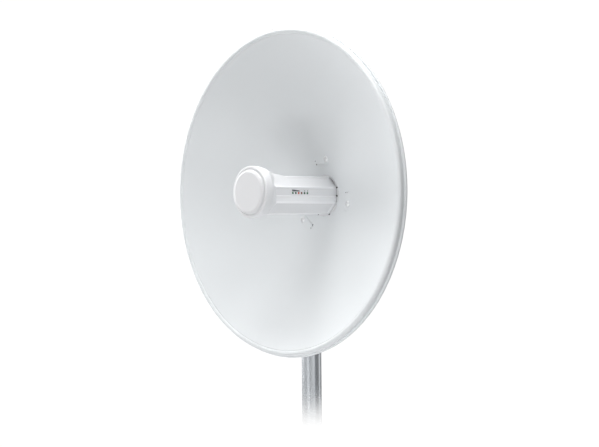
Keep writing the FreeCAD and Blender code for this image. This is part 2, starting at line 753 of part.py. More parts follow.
def make_radiator_posts():
    posts = []
    for i in range(4):
        angle = math.radians(45 + 90 * i)
        place = vec(dish_x + 27 * math.cos(angle), 0, 27 * math.sin(angle))
        posts.append(rod(2.2, place + Y_AXIS * (tip_y + 6.2), place + Y_AXIS * (tip_y + 24)))
    return Part.makeCompound(posts)


def make_signal_leads():
    """Two stiff coaxial leads from the radiator to the main board."""
    leads = []
    for side in (-1, 1):
        x = dish_x + side * 20
        leads.append(rod(1.1, vec(x, tip_y + 25.6, -7), vec(x, tip_y + 70, -7)))
    return Part.makeCompound(leads)


# ---------------------------------------------------------------- electronics
def make_main_board():
    board = block(dish_x - 31, dish_x + 31, tip_y + 60, -26, board_z, board_z + board_t)
    for x, y in screw_posts():
        board = board.cut(rod(1.8, vec(x, y, -20), vec(x, y, 0)))
    for x, y in board_screw_places():
        board = board.cut(rod(1.6, vec(x, y, -20), vec(x, y, 0)))
    return board


def make_rf_shield():
    top = board_z + board_t
    can = block(dish_x - 18, dish_x + 18, -210, -112, top, top + 4)
    return can.cut(block(dish_x - 17.6, dish_x + 17.6, -209.6, -112.4, top - 1, top + 3.6))


def make_ethernet_jack():
    top = board_z + board_t
    jack = block(dish_x - 8, dish_x + 8, -42, -19.5, top, 3.7)
    port = block(dish_x - 5.9, dish_x + 5.9, -36, -10, top + 2, top + 10)
    latch = block(dish_x - 3.2, dish_x + 3.2, -36, -10, top + 9, top + 12)
    return jack.cut(port).cut(latch)


def make_led_light_pipes():
    face = dish_x + upper_flats / 2 - 0.4
    pipes = []
    for y in led_places():
        bar = rod(1.5, vec(dish_x + 26, y, led_z), vec(face + 0.35, y, led_z))
        leg = block(dish_x + 25, dish_x + 28, y - 1.4, y + 1.4, board_z + board_t, led_z + 1.4)
        pipes.append(fuse([bar, leg]))
    return Part.makeCompound(pipes)


def make_status_label():
    label = label_block(0.38).common(block(0, dish_x + upper_flats / 2 - 0.05, -400, 0, -20, 20))
    for y in led_places():
        label = label.cut(rod(1.55, vec(dish_x + 30, y, led_z), vec(dish_x + 40, y, led_z)))
    return label


def make_reset_button():
    stem = rod(1.6, vec(dish_x + 16, -24.2, 0), vec(dish_x + 16, -19.2, 0))
    foot = rod(2.6, vec(dish_x + 16, -25.4, 0), vec(dish_x + 16, -23.6, 0))
    return fuse([stem, foot])


def make_board_screws():
    screws = []
    top = board_z + board_t
    for x, y in board_screw_places():
        screws.append(fuse([rod(2.8, vec(x, y, top), vec(x, y, top + 1.8)),
                            rod(1.2, vec(x, y, -22), vec(x, y, top + 1))]))
    return Part.makeCompound(screws)


def make_shell_screws():
    screws = []
    for x, y in screw_posts():
        head = rod(2.9, vec(x, y, -41.2), vec(x, y, -38))
        slot = block(x - 2.2, x + 2.2, y - 0.4, y + 0.4, -42, -40.2)
        screws.append(fuse([head, rod(1.4, vec(x, y, -39), vec(x, y, 5))]).cut(slot))
    return Part.makeCompound(screws)


def make_breather_vent():
    """Round vent plug in the feed's underside that lets moisture out."""
    place = vec(dish_x, -160, 0)
    plug = rod(4.0, place + Z_AXIS * -42.2, place + Z_AXIS * -37)
    rim = rod(5.4, place + Z_AXIS * -43.0, place + Z_AXIS * -42.2)
    return fuse([plug, rim])


# ---------------------------------------------------------------- cable door
def make_cable_door():
    """Tail cap over the network port; it slips off rearwards and is slotted for the cable."""
    start = shell_end_y + 0.3
    cap = octagon(upper_flats, start, door_end_y)
    end_edges = [e for e in cap.Edges if e.BoundBox.YMin > door_end_y - 0.01]
    cap = cap.makeFillet(2.0, end_edges)
    cap = cap.cut(octagon(spigot_flats + 0.5, start - 1, door_end_y - 2.5))
    slot = block(dish_x - 7, dish_x + 7, -12, 20, -60, -34)
    grip = block(dish_x - 9, dish_x + 9, 0, 5, 29.6, 40)
    return cap.cut(slot).cut(grip)


def make_cable_seal():
    """Rubber plug that fills the door's slot, with a hole for the cable."""
    seal = block(dish_x - 6.9, dish_x + 6.9, -11.8, 11.6, -41.6, -34.1)
    seal = seal.cut(rod(2.9, vec(dish_x, -20, -37.4), vec(dish_x, 20, -37.4)))
    return seal


# ---------------------------------------------------------------- the whole set
def build_all():
    os.makedirs("parts", exist_ok=True)
    save("reflector", make_reflector())
    save("backing_ring", make_backing_ring())
    save("dish_bracket", make_dish_bracket())
    save("tilt_scale", make_tilt_scale())
    save("reflector_bolts", make_reflector_bolts())
    save("reflector_nuts", make_reflector_nuts())
    save("feed_socket", make_feed_socket())
    save("socket_screws", make_socket_screws())
    save("release_button", make_release_button())
    save("release_latch", make_release_latch())
    save("release_spring", make_release_spring())
    save("feed_upper_shell", make_feed_upper_shell())
    save("feed_lower_shell", make_feed_lower_shell())
    save("horn_shroud", make_horn_shroud())
    save("feed_cap", make_feed_cap())
    save("cap_gasket", make_cap_gasket())
    save("subreflector", make_subreflector())
    save("radiator_board", make_radiator_board())
    save("radiator_posts", make_radiator_posts())
    save("signal_leads", make_signal_leads())
    save("main_board", make_main_board())
    save("rf_shield", make_rf_shield())
    save("ethernet_jack", make_ethernet_jack())
    save("led_light_pipes", make_led_light_pipes())
    save("status_label", make_status_label())
    save("reset_button", make_reset_button())
    save("board_screws", make_board_screws())
    save("shell_screws", make_shell_screws())
    save("breather_vent", make_breather_vent())
    save("cable_door", make_cable_door())
    save("cable_seal", make_cable_seal())
    save("mast_bracket", make_mast_bracket())
    save("ground_screw", make_ground_screw())
    save("clamp_bolts", make_clamp_bolts())
    for name, up in (("upper", True), ("lower", False)):
        save("inner_jaw_" + name, make_jaw(-1, up))
        save("outer_jaw_" + name, make_jaw(1, up))
        save("clamp_washers_" + name, clamp_set(up, make_clamp_washer))
        save("clamp_nuts_" + name, clamp_set(up, make_clamp_nut))
    locks = (-lock_radius, lock_radius)
    save("pivot_bolt", tilt_bolt(0, 66))
    save("pivot_washer", tilt_washer(0))
    save("pivot_nut", tilt_nut(0))
    save("lock_bolts", Part.makeCompound([tilt_bolt(z, 66) for z in locks]))
    save("lock_washers", Part.makeCompound([tilt_washer(z) for z in locks]))
    save("lock_nuts", Part.makeCompound([tilt_nut(z) for z in locks]))


if __name__ == "__main__":
    build_all()
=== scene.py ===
import json
from math import acos, atan, atan2, cos, exp, hypot, log, pi, radians, sin, sqrt, tan

import bmesh
import bpy
from mathutils import Matrix, Vector

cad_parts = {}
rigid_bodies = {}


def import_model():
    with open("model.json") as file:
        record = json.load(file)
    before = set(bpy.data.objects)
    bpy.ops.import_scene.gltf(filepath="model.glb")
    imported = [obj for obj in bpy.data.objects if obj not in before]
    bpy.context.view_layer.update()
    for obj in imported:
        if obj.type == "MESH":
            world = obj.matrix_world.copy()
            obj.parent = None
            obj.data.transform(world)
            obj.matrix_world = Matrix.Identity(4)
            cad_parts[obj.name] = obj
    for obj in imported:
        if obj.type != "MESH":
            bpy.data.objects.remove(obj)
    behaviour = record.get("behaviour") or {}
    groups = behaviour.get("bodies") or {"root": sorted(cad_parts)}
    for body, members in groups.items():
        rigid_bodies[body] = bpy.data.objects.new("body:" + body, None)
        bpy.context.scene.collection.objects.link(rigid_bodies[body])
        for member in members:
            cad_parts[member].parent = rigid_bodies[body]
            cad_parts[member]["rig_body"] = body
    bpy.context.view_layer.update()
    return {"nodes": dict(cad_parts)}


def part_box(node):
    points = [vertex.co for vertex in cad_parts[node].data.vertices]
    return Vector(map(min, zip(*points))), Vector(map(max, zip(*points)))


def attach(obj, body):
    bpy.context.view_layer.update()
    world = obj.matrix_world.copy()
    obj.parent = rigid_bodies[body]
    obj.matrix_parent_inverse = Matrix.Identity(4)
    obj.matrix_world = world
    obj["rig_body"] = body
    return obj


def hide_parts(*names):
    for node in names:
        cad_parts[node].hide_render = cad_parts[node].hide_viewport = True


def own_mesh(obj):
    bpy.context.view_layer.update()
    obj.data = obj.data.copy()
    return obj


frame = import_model()

# -------- sizes in metres, and angles in degrees
MM = 0.001

dish_low, dish_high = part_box("reflector")
dish_x = (dish_low.x + dish_high.x) / 2
dish_r = (dish_high.x - dish_low.x) / 2
crest_y = dish_low.y
focal = 197.65 * MM
sheet = 1.2 * MM
bowl_r = 313.0 * MM
lip_r = 5.0 * MM
flange_end = 13.5 * MM
bead_r = 2.9 * MM
hole_r = 42.0 * MM
crease_r = 311.2 * MM
crease_half = 1.8 * MM
crease_depth = 1.0 * MM
pad_radius = 71.5 * MM
pad_length = 38.0 * MM
pad_width = 16.5 * MM
pad_angles = (91.5, 229.0, 349.5)
bolt_radius = 74.5 * MM
bolt_lags = (9.3, 9.3, 3.3)
# Dark plates at the pads' ends: painted shade standing for the shadowed slot at each pad's end
slot_lead = 14.3
slot_inner = 65.0 * MM
slot_outer = 74.0 * MM
slot_width = 2.0 * MM
slot_proud = 0.6 * MM
slot_deep = 0.8 * MM

tip_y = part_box("feed_cap")[0].y
tube_low, tube_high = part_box("feed_lower_shell")
lower_flats = tube_high.x - tube_low.x
upper_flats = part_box("feed_upper_shell")[1].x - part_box("feed_upper_shell")[0].x
feed_drop = -(tube_low.z + lower_flats / 2)
ring_r = 50.0 * MM
ring_front = 5.0 * MM
ring_back = 20.0 * MM
shoulder_end = 41.0 * MM
ramp_start = 54.0 * MM
ramp_end = 86.0 * MM
ramp_rise = 4.9 * MM
cap_r = 43.5 * MM
parting_z = -6.5 * MM
ridge_r = 2.0 * MM
ridge_rise = 1.2 * MM
lip_bead_r = 1.2 * MM
lip_bead_rise = 1.3 * MM
panel_rise = 0.15 * MM
lamp_r = 2.2 * MM
# Dark pieces in the socket mouth's notches: painted shade standing for the shadowed gaps there
notch_shade_angles = (22.5, 157.5, 182.0, 247.5, 292.5, 358.0)
notch_shade_reach = 37.6 * MM
notch_shade_radius = 1.6 * MM
notch_shade_proud = 0.6 * MM
notch_shade_deep = 6.0 * MM
facet_turn = 45.0
half_facet = facet_turn / 2

hex_flats = 13.0 * MM
hex_height = 5.3 * MM
m8_r = 4.0 * MM
loose_nut_bore = 4.05 * MM

lip_angle = atan(bowl_r / (2 * focal))
vertex_y = crest_y + bowl_r ** 2 / (4 * focal) + lip_r * (1 - cos(lip_angle))


# -------- node materials
def start_material(name, colour, rough, metal=0.0):
    """A principled material, returned with its tree and shader so that detail can be wired in."""
    mat = bpy.data.materials.new(name)
    mat.use_nodes = True
    shader = mat.node_tree.nodes["Principled BSDF"]
    shader.inputs["Base Color"].default_value = (*colour, 1.0)
    shader.inputs["Roughness"].default_value = rough
    shader.inputs["Metallic"].default_value = metal
    return mat, mat.node_tree, shader


def object_coords(tree, stretch=(1, 1, 1)):
    """Place on the object, stretched along its axes, for textures to follow."""
    coords = tree.nodes.new("ShaderNodeTexCoord")
    mapping = tree.nodes.new("ShaderNodeMapping")
    mapping.inputs["Scale"].default_value = stretch
    tree.links.new(coords.outputs["Object"], mapping.inputs["Vector"])
    return mapping.outputs["Vector"]


def noise_value(tree, vector, scale, detail=3.0, rough=0.5):
    """Noise from 0 to 1 over the object."""
    node = tree.nodes.new("ShaderNodeTexNoise")
    node.inputs["Scale"].default_value = scale
    node.inputs["Detail"].default_value = detail
    node.inputs["Roughness"].default_value = rough
    tree.links.new(vector, node.inputs["Vector"])
    return node.outputs["Fac"]


def colour_by(tree, shader, value, stops):
    """Base colour from a value, through a ramp of (position, colour) stops."""
    node = tree.nodes.new("ShaderNodeValToRGB")
    ramp = node.color_ramp
    while len(ramp.elements) < len(stops):
        ramp.elements.new(0.5)
    for element, (position, colour) in zip(ramp.elements, stops):
        element.position = position
        element.color = (*colour, 1.0)
    tree.links.new(value, node.inputs["Fac"])
    tree.links.new(node.outputs["Color"], shader.inputs["Base Color"])


def rough_by(tree, shader, value, low, high):
    """Roughness between two limits, from a value."""
    node = tree.nodes.new("ShaderNodeMapRange")
    node.inputs["To Min"].default_value = low
    node.inputs["To Max"].default_value = high
    tree.links.new(value, node.inputs["Value"])
    tree.links.new(node.outputs["Result"], shader.inputs["Roughness"])


def add_bump(tree, shader, value, strength, distance):
    """Fine relief in the shading, from a value."""
    bump = tree.nodes.new("ShaderNodeBump")
    bump.inputs["Strength"].default_value = strength
    bump.inputs["Distance"].default_value = distance
    tree.links.new(value, bump.inputs["Height"])
    tree.links.new(bump.outputs["Normal"], shader.inputs["Normal"])


def tinted(colour, amount):
    """The colour made lighter or darker."""
    return tuple(min(1.0, c * amount) for c in colour)


def tint_by(tree, shader, value, colour, *stops):
    """Base colour drifting between tints of one colour, given as (position, tint) stops."""
    colour_by(tree, shader, value, [(place, tinted(colour, tint)) for place, tint in stops])


def powder_coat(name, colour):
    """Sprayed and baked coat: faint orange peel, slow tone drift."""
    mat, tree, shader = start_material(name, colour, 0.42)
    vector = object_coords(tree)
    tint_by(tree, shader, noise_value(tree, vector, 7.0, 2.0), colour, (0.3, 0.985), (0.7, 1.0))
    add_bump(tree, shader, noise_value(tree, vector, 520.0, 2.0, 0.4), 0.10, 0.0002)
    rough_by(tree, shader, noise_value(tree, vector, 60.0), 0.38, 0.48)
    return mat


def moulded_plastic(name, colour, rough=0.38, grain=0.08):
    """Injection-moulded plastic with a fine spark-eroded grain."""
    mat, tree, shader = start_material(name, colour, rough)
    vector = object_coords(tree)
    tint_by(tree, shader, noise_value(tree, vector, 12.0, 2.0), colour, (0.3, 0.98), (0.7, 1.0))
    add_bump(tree, shader, noise_value(tree, vector, 1600.0, 2.0, 0.6), grain, 0.0001)
    rough_by(tree, shader, noise_value(tree, vector, 90.0), rough - 0.04, rough + 0.06)
    return mat


def galvanised(name, colour=(0.52, 0.54, 0.56)):
    """Hot-dip zinc with its spangle of crystals."""
    mat, tree, shader = start_material(name, colour, 0.42, 0.85)
    vector = object_coords(tree)
    cells = tree.nodes.new("ShaderNodeTexVoronoi")
    cells.inputs["Scale"].default_value = 160.0
    tree.links.new(vector, cells.inputs["Vector"])
    spangle = tree.nodes.new("ShaderNodeSeparateColor")
    tree.links.new(cells.outputs["Color"], spangle.inputs["Color"])
    tint_by(tree, shader, spangle.outputs["Red"], colour, (0.0, 0.82), (0.5, 1.0), (1.0, 1.2))
    rough_by(tree, shader, spangle.outputs["Green"], 0.32, 0.52)
    add_bump(tree, shader, noise_value(tree, vector, 420.0), 0.12, 0.0002)
    return mat


def plated(name, colour=(0.60, 0.61, 0.62)):
    """Zinc-plated fastener steel, slightly clouded."""
    mat, tree, shader = start_material(name, colour, 0.3, 1.0)
    vector = object_coords(tree)
    cloud = noise_value(tree, vector, 260.0, 4.0)
    tint_by(tree, shader, cloud, colour, (0.3, 0.8), (0.7, 1.1))
    rough_by(tree, shader, cloud, 0.24, 0.42)
    add_bump(tree, shader, noise_value(tree, vector, 1500.0), 0.06, 0.0001)
    return mat


def cast_metal(name, colour=(0.58, 0.59, 0.60)):
    """Sand-cast aluminium: dull and finely pitted."""
    mat, tree, shader = start_material(name, colour, 0.5, 0.9)
    vector = object_coords(tree)
    pits = noise_value(tree, vector, 700.0, 5.0, 0.7)
    tint_by(tree, shader, pits, colour, (0.35, 0.8), (0.65, 1.05))
    rough_by(tree, shader, pits, 0.42, 0.62)
    add_bump(tree, shader, pits, 0.35, 0.0003)
    return mat


def brushed(name, colour):
    """Metal with fine brushed lines."""
    mat, tree, shader = start_material(name, colour, 0.32, 1.0)
    vector = object_coords(tree, (1, 1, 40))
    lines = noise_value(tree, vector, 300.0, 3.0)
    rough_by(tree, shader, lines, 0.25, 0.42)
    add_bump(tree, shader, lines, 0.05, 0.0001)
    return mat


def rubber(name, colour=(0.03, 0.03, 0.032)):
    """Black rubber with a little dust."""
    mat, tree, shader = start_material(name, colour, 0.75)
    vector = object_coords(tree)
    tint_by(tree, shader, noise_value(tree, vector, 140.0, 4.0), colour, (0.35, 1.0), (0.75, 1.7))
    add_bump(tree, shader, noise_value(tree, vector, 1200.0), 0.15, 0.0002)
    return mat


def circuit_board(name):
    """Green solder mask over a faint pattern of copper tracks."""
    colour = (0.015, 0.11, 0.045)
    mat, tree, shader = start_material(name, colour, 0.3)
    vector = object_coords(tree)
    tracks = tree.nodes.new("ShaderNodeTexBrick")
    tracks.inputs["Scale"].default_value = 120.0
    tracks.inputs["Color1"].default_value = (*colour, 1.0)
    tracks.inputs["Color2"].default_value = (*tinted(colour, 1.3), 1.0)
    tracks.inputs["Mortar"].default_value = (0.05, 0.20, 0.09, 1.0)
    tree.links.new(vector, tracks.inputs["Vector"])
    tree.links.new(tracks.outputs["Color"], shader.inputs["Base Color"])
    add_bump(tree, shader, noise_value(tree, vector, 900.0), 0.05, 0.0001)
    return mat


def lamp_window(name, colour):
    """Tinted light pipe end: saturated core under a clear gloss."""
    mat, tree, shader = start_material(name, colour, 0.18)
    vector = object_coords(tree)
    tint_by(tree, shader, noise_value(tree, vector, 600.0, 2.0), colour, (0.3, 0.85), (0.7, 1.1))
    shader.inputs["Coat Weight"].default_value = 0.6
    shader.inputs["Emission Color"].default_value = (*colour, 1.0)
    shader.inputs["Emission Strength"].default_value = 0.15
    return mat


DISH_WHITE = (0.76, 0.785, 0.80)
FEED_WHITE = (0.80, 0.805, 0.82)
white_coat = powder_coat("white_coat", DISH_WHITE)
feed_white = moulded_plastic("feed_white", FEED_WHITE)
# Lower shell: the feed white made lighter, a painted light standing for the brighter light on the lower
# shell's sides
shell_white_painted_light = moulded_plastic("shell_white_painted_light", tinted(FEED_WHITE, 1.08))
# Beads: the feed white made much lighter and glossier, a painted highlight for the bright lines along the
# tube's corners and parting line
ridge_white_painted_highlight = moulded_plastic("ridge_white_painted_highlight", tinted(FEED_WHITE, 1.16), 0.32)
panel_grey = moulded_plastic("panel_grey", tinted(FEED_WHITE, 0.94), 0.5, 0.2)
cap_white = moulded_plastic("cap_white", tinted(FEED_WHITE, 0.97), 0.45, 0.12)
socket_white = moulded_plastic("socket_white", tinted(FEED_WHITE, 0.93))
spacer_grey = moulded_plastic("spacer_grey", (0.30, 0.31, 0.32), 0.5, 0.2)
button_grey = moulded_plastic("button_grey", (0.42, 0.44, 0.46), 0.45, 0.15)
label_film = moulded_plastic("label_film", tinted(FEED_WHITE, 0.96), 0.3, 0.02)
scale_black = moulded_plastic("scale_black", (0.07, 0.075, 0.08), 0.45, 0.1)
mark_white = moulded_plastic("mark_white", (0.72, 0.73, 0.74), 0.45, 0.1)
print_ink = moulded_plastic("print_ink", (0.035, 0.04, 0.04), 0.5, 0.05)
zinc_steel = galvanised("zinc_steel")
bolt_steel = plated("bolt_steel")
dome_steel = plated("dome_steel", (0.86, 0.87, 0.88))
cast_alloy = cast_metal("cast_alloy")
spun_alloy = brushed("spun_alloy", (0.72, 0.73, 0.74))
tinned_steel = brushed("tinned_steel", (0.6, 0.6, 0.61))
seal_rubber = rubber("seal_rubber")
green_board = circuit_board("green_board")


# -------- mesh helpers
def vec(x, y, z):
    """A point or direction from three numbers."""
    return Vector((x, y, z))


def make_piece(name, points, faces, body, material, smooth_angle=35.0):
    """One mesh object riding on a body, smooth except at edges sharper than the angle."""
    mesh = bpy.data.meshes.new(name)
    mesh.from_pydata([tuple(p) for p in points], [], faces)
    mesh.validate()
    finish_mesh(mesh, smooth_angle)
    return add_object(name, mesh, body, material)


def finish_mesh(mesh, smooth_angle):
    """Joins doubled points, turns faces outward and sets which edges are sharp."""
    work = bmesh.new()
    work.from_mesh(mesh)
    bmesh.ops.remove_doubles(work, verts=work.verts, dist=1e-6)
    bmesh.ops.recalc_face_normals(work, faces=work.faces)
    work.to_mesh(mesh)
    work.free()
    mesh.shade_smooth()
    mesh.set_sharp_from_angle(angle=radians(smooth_angle))


def add_object(name, mesh, body, material):
    """A mesh as an object of one material, riding on a body."""
    piece = bpy.data.objects.new(name, mesh)
    bpy.context.scene.collection.objects.link(piece)
    mesh.materials.clear()
    mesh.materials.append(material)
    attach(piece, body)
    return piece


def stand_for(node):
    """The piece takes the place of a CAD node."""
    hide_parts(node)


def stand_together(node):
    """Several fasteners take the place of one node of identical ones."""
    stand_for(node)


def quads(rows, around, close_rows=False):
    """Faces of a grid of points: rows of equal length, joined round and, if asked, end to end."""
    faces = []
    row_pairs = rows if close_rows else rows - 1
    for r in range(row_pairs):
        for i in range(around):
            a = r * around
            b = ((r + 1) % rows) * around
            j = (i + 1) % around
            faces.append((a + i, a + j, b + j, b + i))
    return faces


def tube_faces(rows, around):
    """Faces of a body built from rings of points, with both ends closed."""
    faces = quads(rows, around)
    faces.append(tuple(range(around))[::-1])
    faces.append(tuple(range((rows - 1) * around, rows * around)))
    return faces


def shifted(faces, first):
    """The same faces, counted from a later point of a growing mesh."""
    return [tuple(first + i for i in face) for face in faces]


BLOCK_FACES = [(0, 1, 3, 2), (4, 6, 7, 5), (0, 2, 6, 4), (1, 5, 7, 3), (0, 4, 5, 1), (2, 3, 7, 6)]


def add_block(points, faces, corners):
    """Adds a six-sided block to a growing mesh from its eight corners, four of one face first."""
    faces.extend(shifted(BLOCK_FACES, len(points)))
    points.extend(corners)


def full_turn(count):
    """Angles of equal steps round a full turn."""
    return [2 * pi * i / count for i in range(count)]


def from_flat(turn):
    """Angle from the middle of the nearest flat of a hexagon."""
    return (turn + pi / 6) % (pi / 3) - pi / 6


def rounded(corners, steps=8):
    """Closed outline from (a, b, fillet) corners, each fillet drawn as an arc."""
    outline = []
    count = len(corners)
    for i, (a, b, fillet) in enumerate(corners):
        here = Vector((a, b))
        before = (Vector(corners[i - 1][:2]) - here).normalized()
        after = (Vector(corners[(i + 1) % count][:2]) - here).normalized()
        turn = before.angle(after)
        if fillet <= 0 or turn > pi - 0.01:
            outline.append(here)
            continue
        reach = fillet / tan(turn / 2)
        centre = here + (before + after).normalized() * (fillet / sin(turn / 2))
        start = here + before * reach - centre
        sweep = start.angle_signed(here + after * reach - centre)
        for k in range(steps + 1):
            outline.append(centre + Matrix.Rotation(-sweep * k / steps, 2) @ start)
    return outline


def apply_modifiers(piece, smooth_angle):
    """Turns the piece's modifiers into plain mesh and sets which edges are sharp."""
    graph = bpy.context.evaluated_depsgraph_get()
    mesh = bpy.data.meshes.new_from_object(piece.evaluated_get(graph))
    piece.modifiers.clear()
    piece.data = mesh
    mesh.shade_smooth()
    mesh.set_sharp_from_angle(angle=radians(smooth_angle))


def refined(node, material, bevel):
    """A bevelled copy of a CAD node's own mesh, standing for it."""
    smooth_angle = 32.0
    source = frame["nodes"][node]
    mesh = source.data.copy()
    mesh.name = node + "_skin"
    work = bmesh.new()
    work.from_mesh(mesh)
    bmesh.ops.remove_doubles(work, verts=work.verts, dist=2e-6)
    bmesh.ops.dissolve_limit(work, angle_limit=radians(0.6), verts=work.verts, edges=work.edges)
    work.to_mesh(mesh)
    work.free()
    piece = add_object(node + "_skin", mesh, source["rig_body"], material)
    cut = piece.modifiers.new("edges", "BEVEL")
    cut.width = bevel
    cut.segments = 2
    cut.limit_method = "ANGLE"
    cut.angle_limit = radians(smooth_angle)
    cut.use_clamp_overlap = True
    apply_modifiers(piece, smooth_angle)
    stand_for(node)


# -------- reflector
def ease(amount):
    """Smooth step from 0 to 1."""
    amount = min(1.0, max(0.0, amount))
    return amount * amount * (3 - 2 * amount)


def spaced(low, high, count):
    """Equal steps from low up to, but not including, high."""
    return [low + (high - low) * i / count for i in range(count)]


def on_feed_axis(radius, degrees):
    """(x, z) of a point round the hole's centre."""
    angle = radians(degrees)
    return dish_x + radius * cos(angle), radius * sin(angle) - feed_drop


def pad_front(degrees):
    """The flat face of a pad: a hair in front of the bowl at the pad's outermost corner."""
    x, z = on_feed_axis(pad_radius, degrees)
    middle = hypot(x - dish_x, z)
    corner = hypot(middle + pad_width / 2, (pad_length - pad_width) / 2)
    return vertex_y - corner ** 2 / (4 * focal) - 0.2 * MM


def pad_distance(x, z, degrees):
    """How far a point lies outside the obround outline of a pad; negative inside."""
    turn = radians(degrees)
    px, pz = on_feed_axis(pad_radius, degrees)
    along = -(x - px) * sin(turn) + (z - pz) * cos(turn)
    out = (x - px) * cos(turn) + (z - pz) * sin(turn)
    half = (pad_length - pad_width) / 2
    return hypot(max(0.0, abs(along) - half), out) - pad_width / 2


def sheet_front(x, z):
    """Where the reflecting face lies along Y, with its three pressed pads and the crease near the rim."""
    y = vertex_y - ((x - dish_x) ** 2 + z ** 2) / (4 * focal)
    for degrees in pad_angles:
        near = pad_distance(x, z, degrees)
        if near < 2 * MM:
            raised = ease((0.9 * MM - near) / (1.8 * MM))
            y += (pad_front(degrees) - y) * raised
    from_crease = abs(hypot(x - dish_x, z) - crease_r)
    return y + crease_depth * ease(1 - from_crease / crease_half)


def bowl_row(share, around, back):
    """Points of one row from the hole (0) to the edge of the paraboloid (1)."""
    row = []
    for turn in full_turn(around):
        ray = (cos(turn), sin(turn))
        x = dish_x + (hole_r * (1 - share) + bowl_r * share) * ray[0]
        z = (hole_r * (1 - share) + bowl_r * share) * ray[1] - feed_drop * (1 - share)
        y = sheet_front(x, z)
        if back:
            r = hypot(x - dish_x, z)
            slope = r / (2 * focal)
            lean = 1 / hypot(1, slope)
            x += sheet * slope * lean * (x - dish_x) / r
            z += sheet * slope * lean * z / r
            y += sheet * lean
        row.append(vec(x, y, z))
    return row


def circle_row(radius, y, around):
    """A ring of points about the dish's axis."""
    return [vec(dish_x + radius * cos(turn), y, radius * sin(turn)) for turn in full_turn(around)]


def revolved(name, corners, material):
    """Ring or disc riding with the dish: a closed (radius, y) outline turned about the dish's axis."""
    around = 192
    outline = rounded(corners)
    points = [p for radius, y in outline for p in circle_row(radius, y, around)]
    return make_piece(name, points, quads(len(outline), around, True), "dish", material)


def lip_rows(radius, around, reverse):
    """The rolled lip, from the bowl's edge over the crest to the flange."""
    centre_r = bowl_r + lip_r * sin(lip_angle)
    centre_y = crest_y + lip_r
    steps = 9
    rows = []
    for k in range(1, steps + 1):
        angle = -lip_angle + (pi / 2 + lip_angle) * k / steps
        out, forward = radius * sin(angle), radius * cos(angle)
        rows.append(circle_row(centre_r + out, centre_y - forward, around))
    return rows[::-1] if reverse else rows


def bead_rows(around):
    """The rolled hem behind the flange."""
    centre_r = dish_r - bead_r
    centre_y = crest_y + flange_end
    flange_r = bowl_r + lip_r * sin(lip_angle) + lip_r
    start = acos((flange_r - centre_r) / bead_r)
    end = 2 * pi - acos((flange_r - sheet - centre_r) / bead_r)
    steps = 16
    rows = []
    for k in range(steps + 1):
        angle = -start + (start + end) * k / steps
        out, rearward = bead_r * cos(angle), bead_r * sin(angle)
        rows.append(circle_row(centre_r + out, centre_y + rearward, around))
    return rows


def make_reflector():
    """The whole spun sheet: bowl, rolled lip, flange and hem, closed over its back."""
    around = 480
    pad_zone = (0.05, 0.18)
    crease_start = 0.984
    shares = spaced(0.0, pad_zone[0], 4) + spaced(pad_zone[0], pad_zone[1], 36)
    shares += spaced(pad_zone[1], crease_start, 34) + spaced(crease_start, 1.0, 14) + [1.0]
    rows = [bowl_row(s, around, False) for s in shares]
    rows += lip_rows(lip_r, around, False)
    rows += bead_rows(around)
    rows += lip_rows(lip_r - sheet, around, True)
    rows += [bowl_row(s, around, True) for s in shares[::-1]]
    points = [p for row in rows for p in row]
    piece = make_piece("reflector_skin", points, quads(len(rows), around, True), "dish", white_coat)
    stand_for("reflector")


def make_pad_end_shade_marks():
    """Short dark plates at one end of each pad, a little proud of the sheet: painted shade for the shadowed
    slot mark there.
    """
    points, faces = [], []
    for degrees in pad_angles:
        corners = []
        for depth in (-slot_proud, slot_deep):
            for radius in (slot_inner, slot_outer):
                for side in (-1, 1):
                    lean = side * slot_width / 2 / radius * (180 / pi)
                    x, z = on_feed_axis(radius, degrees + slot_lead + lean)
                    corners.append(vec(x, sheet_front(x, z) + depth, z))
        add_block(points, faces, corners)
    piece = make_piece("painted_pad_end_shade", points, faces, "dish", seal_rubber)


def dome_bolt(name, x, y, z):
    """Button-head bolt along Y with a hexagonal socket in its crown."""
    around = 48
    socket_r = 1.9
    shank_r = 3.0
    socket = [(socket_r, -1.0), (socket_r, -2.7)]
    dome = [(3.0, -2.6), (4.4, -2.0), (5.5, -1.1), (6.1, -0.3), (6.2, 0.0)]
    shank = [(shank_r, 0.0), (shank_r, 31.6), (2.6, 32.0)]
    rows = socket + dome + shank
    points = []
    for number, (radius, depth) in enumerate(rows):
        for turn in full_turn(around):
            r = radius * MM
            if number < len(socket):
                r /= cos(from_flat(turn))
            points.append(vec(x + r * cos(turn), y + depth * MM, z + r * sin(turn)))
    return make_piece(name, points, tube_faces(len(rows), around), "dish", dome_steel, 40.0)


def make_reflector_bolts():
    """Button-head bolts in the pads."""
    for number, degrees in enumerate(pad_angles):
        x, z = on_feed_axis(bolt_radius, degrees - bolt_lags[number])
        dome_bolt(f"reflector_bolt_{number + 1}", x, pad_front(degrees), z)
    stand_together("reflector_bolts")


# -------- feed
def tube_reach(angle):
    """Distance from the dish's axis to the octagonal tube, with the shroud's own lip."""
    reach = lower_flats / 2 + 0.35 * MM
    distances = []
    for i in range(8):
        facet = radians(facet_turn * i)
        lean = cos(angle - facet)
        if lean > 0.1:
            distances.append((reach - feed_drop * sin(facet)) / lean)
    sharpness = 90.0 / reach
    total = sum(exp(-sharpness * d) for d in distances)
    return -log(total) / sharpness


def skin_radius(angle, t):
    """Distance from the dish's axis to the shroud's skin at one angle and station."""
    top_from = 0.35
    topness = ease((sin(angle) - top_from) / (1 - top_from))
    end = shoulder_end + topness * (ramp_start - shoulder_end)
    rise = topness * ramp_rise * max(0.0, (ramp_end - t) / (ramp_end - ramp_start))
    fall = ease((t - ring_back) / (end - ring_back))
    start = ring_r - 0.4 * MM
    return start + (tube_reach(angle) + rise - start) * fall


# Stretches of rim in degrees: the facet it lies on, then where it starts and ends from the facet's middle.
RIM_STRETCHES = [(0, -18, -6), (0, 2, 18), (-45, -18, 18), (-90, -18, 18), (-135, -18, 18),
                 (180, -18, -2), (180, 6, 18), (90, -18, 18)]


